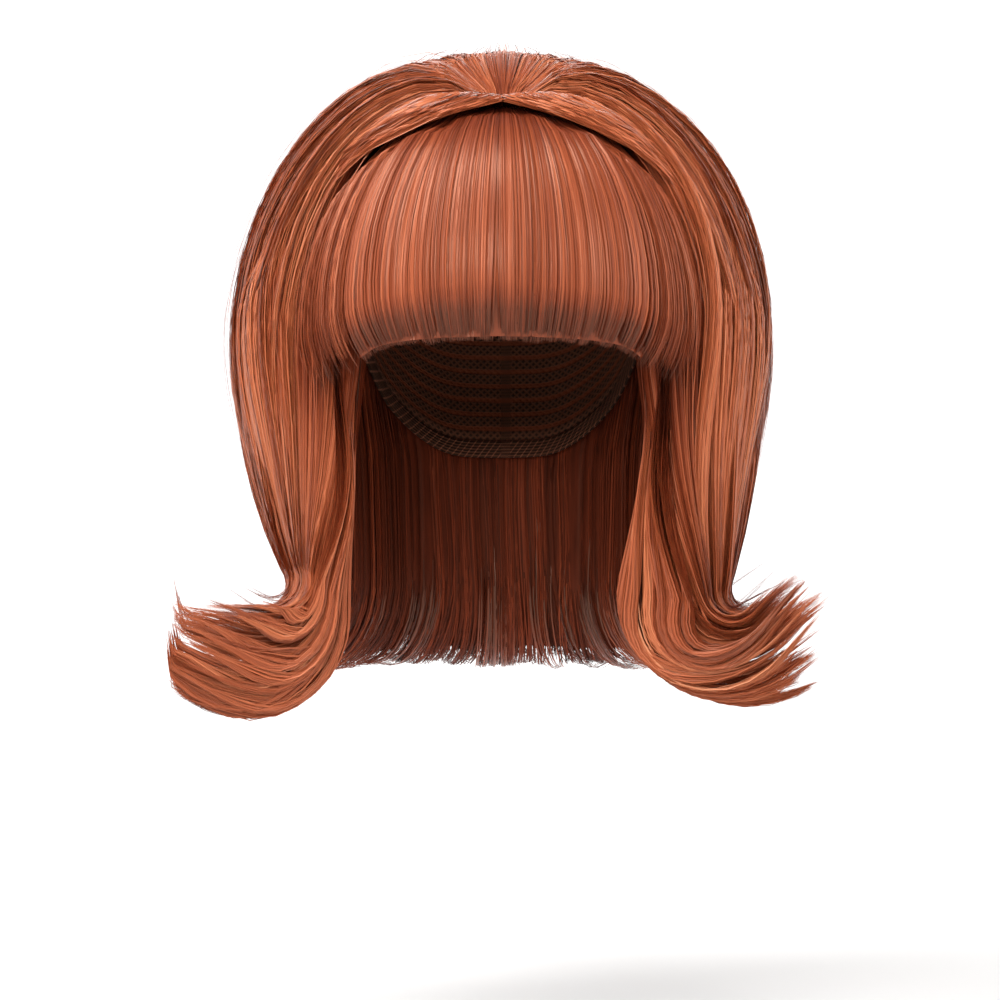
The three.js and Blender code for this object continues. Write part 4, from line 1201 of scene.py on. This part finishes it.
camera = bpy.data.objects.new("camera", bpy.data.cameras.new("camera"))
camera.location = (-0.0005, -1.695, -0.187)
camera.rotation_euler = (np.pi / 2, 0, 0)
camera.data.sensor_width = 36
camera.data.lens = 125.2
bpy.context.collection.objects.link(camera)
scene.camera = camera

# Matt paint, rolled on: a pale grey with a faint mottle, which takes shadow and no shine.
paint, tree, shader = new_material("pale_studio_paint", Roughness=0.9, IOR=1.45)
mottle = add_node(tree, "TexNoise", {"Scale": 3, "Detail": 4})
pale = add_node(tree, "ValToRGB", links={"Fac": mottle.outputs["Fac"]})
set_stops(pale, (0.3, "#e0dfde"), (0.7, "#e8e7e6"))
tree.links.new(pale.outputs["Color"], shader.inputs["Base Color"])

# Glowing paper: the wall round the floor glows by itself, as painted light standing in for a lit
# backdrop, brightest behind the wig, and throws back little of the light that falls on it.
glow, tree, shader = new_material("glowing_paper_wall", Roughness=0.9, IOR=1.45, Base_Color=colour("#4a4a4a"))
glow.cycles.emission_sampling = "NONE"  # it is wide enough for the light to be found by itself
spot = add_node(tree, "SeparateXYZ", links={0: add_node(tree, "TexCoord").outputs["Object"]})
span = {"From Min": -1.5, "From Max": 2.5, "To Min": 0.5, "To Max": 1.15}
# painted light: the glow rises towards the back of the studio
level = add_node(tree, "MapRange", span, {"Value": spot.outputs[1]})
fibres = add_node(tree, "TexNoise", {"Scale": 40, "Detail": 3})
shader.inputs["Emission Color"].default_value = (1, 1, 1, 1)
uneven = {0: fibres.outputs["Fac"], 2: level.outputs[0]}
glowing = add_node(tree, "Math", {1: PAPER_GRAIN}, uneven, operation="MULTIPLY_ADD")
tree.links.new(glowing.outputs[0], shader.inputs["Emission Strength"])

turn = np.linspace(0, np.pi / 2, 13)
cove = [(FLOOR_RADIUS + COVE_RADIUS * np.sin(a), COVE_RADIUS * (1 - np.cos(a))) for a in turn]
profile = [(0.01, 0), (FLOOR_RADIUS / 2, 0), *cove, (FLOOR_RADIUS + COVE_RADIUS, WALL_HEIGHT)]
around = np.arange(STUDIO_SIDES) / STUDIO_SIDES * 2 * np.pi
points = [(r * np.cos(a), r * np.sin(a), FLOOR_LEVEL + z) for r, z in profile for a in around]
faces = loop_faces(len(profile), STUDIO_SIDES, closed=False).tolist()
mesh = bpy.data.meshes.new("studio_sweep")
mesh.from_pydata(points, [], faces)
mesh.polygons.foreach_set("use_smooth", np.ones(len(faces), bool))
mesh.materials.append(paint)
mesh.materials.append(glow)
on_wall = [max(points[i][2] for i in face) > FLOOR_LEVEL + 0.02 for face in faces]  # above its foot
mesh.polygons.foreach_set("material_index", np.array(on_wall, int))
sweep = bpy.data.objects.new("studio_sweep", mesh)
bpy.context.collection.objects.link(sweep)

# Soft boxes: where each stands, what it is aimed at, its size and its power in watts. The last
# one lights the floor behind the wig.
LIGHTS = table(
    "x y z aim_y aim_z wide tall power",
    (-0.35, -1.95, 0.4, 0, -0.1, 0.9, 0.35, 14),
    (-0.2, -0.9, 1.4, 0, -0.02, 1.2, 0.5, 17),
    (-1.0, -0.9, 1.1, 0, -0.05, 0.6, 1.0, 21),
    (1.5, -0.9, 0.4, 0, -0.1, 0.6, 1.0, 8),
    (0, 2.2, 1.6, 2.4, -0.45, 2.4, 1, 45),
)
for i, row in enumerate(rows_of(LIGHTS)):
    lamp = bpy.data.lights.new(f"soft_light_{i}", "AREA")
    lamp.shape = "RECTANGLE"
    lamp.size = row["wide"]
    lamp.size_y = row["tall"]
    lamp.energy = row["power"]
    stand = bpy.data.objects.new(f"soft_light_{i}", lamp)
    stand.location = (row["x"], row["y"], row["z"])
    aim = np.array([0, row["aim_y"], row["aim_z"]]) - np.array(stand.location)
    yaw = np.arctan2(aim[0], -aim[1])
    stand.rotation_euler = (np.arccos(-aim[2] / np.linalg.norm(aim)), 0, yaw + np.pi)
    bpy.context.collection.objects.link(stand)

world = bpy.data.worlds.new("studio_air")
world.use_nodes = True
world.node_tree.nodes["Background"].inputs["Color"].default_value = (1, 1, 1, 1)
world.node_tree.nodes["Background"].inputs["Strength"].default_value = 0.2
scene.world = world
scene.view_settings.view_transform = "Standard"
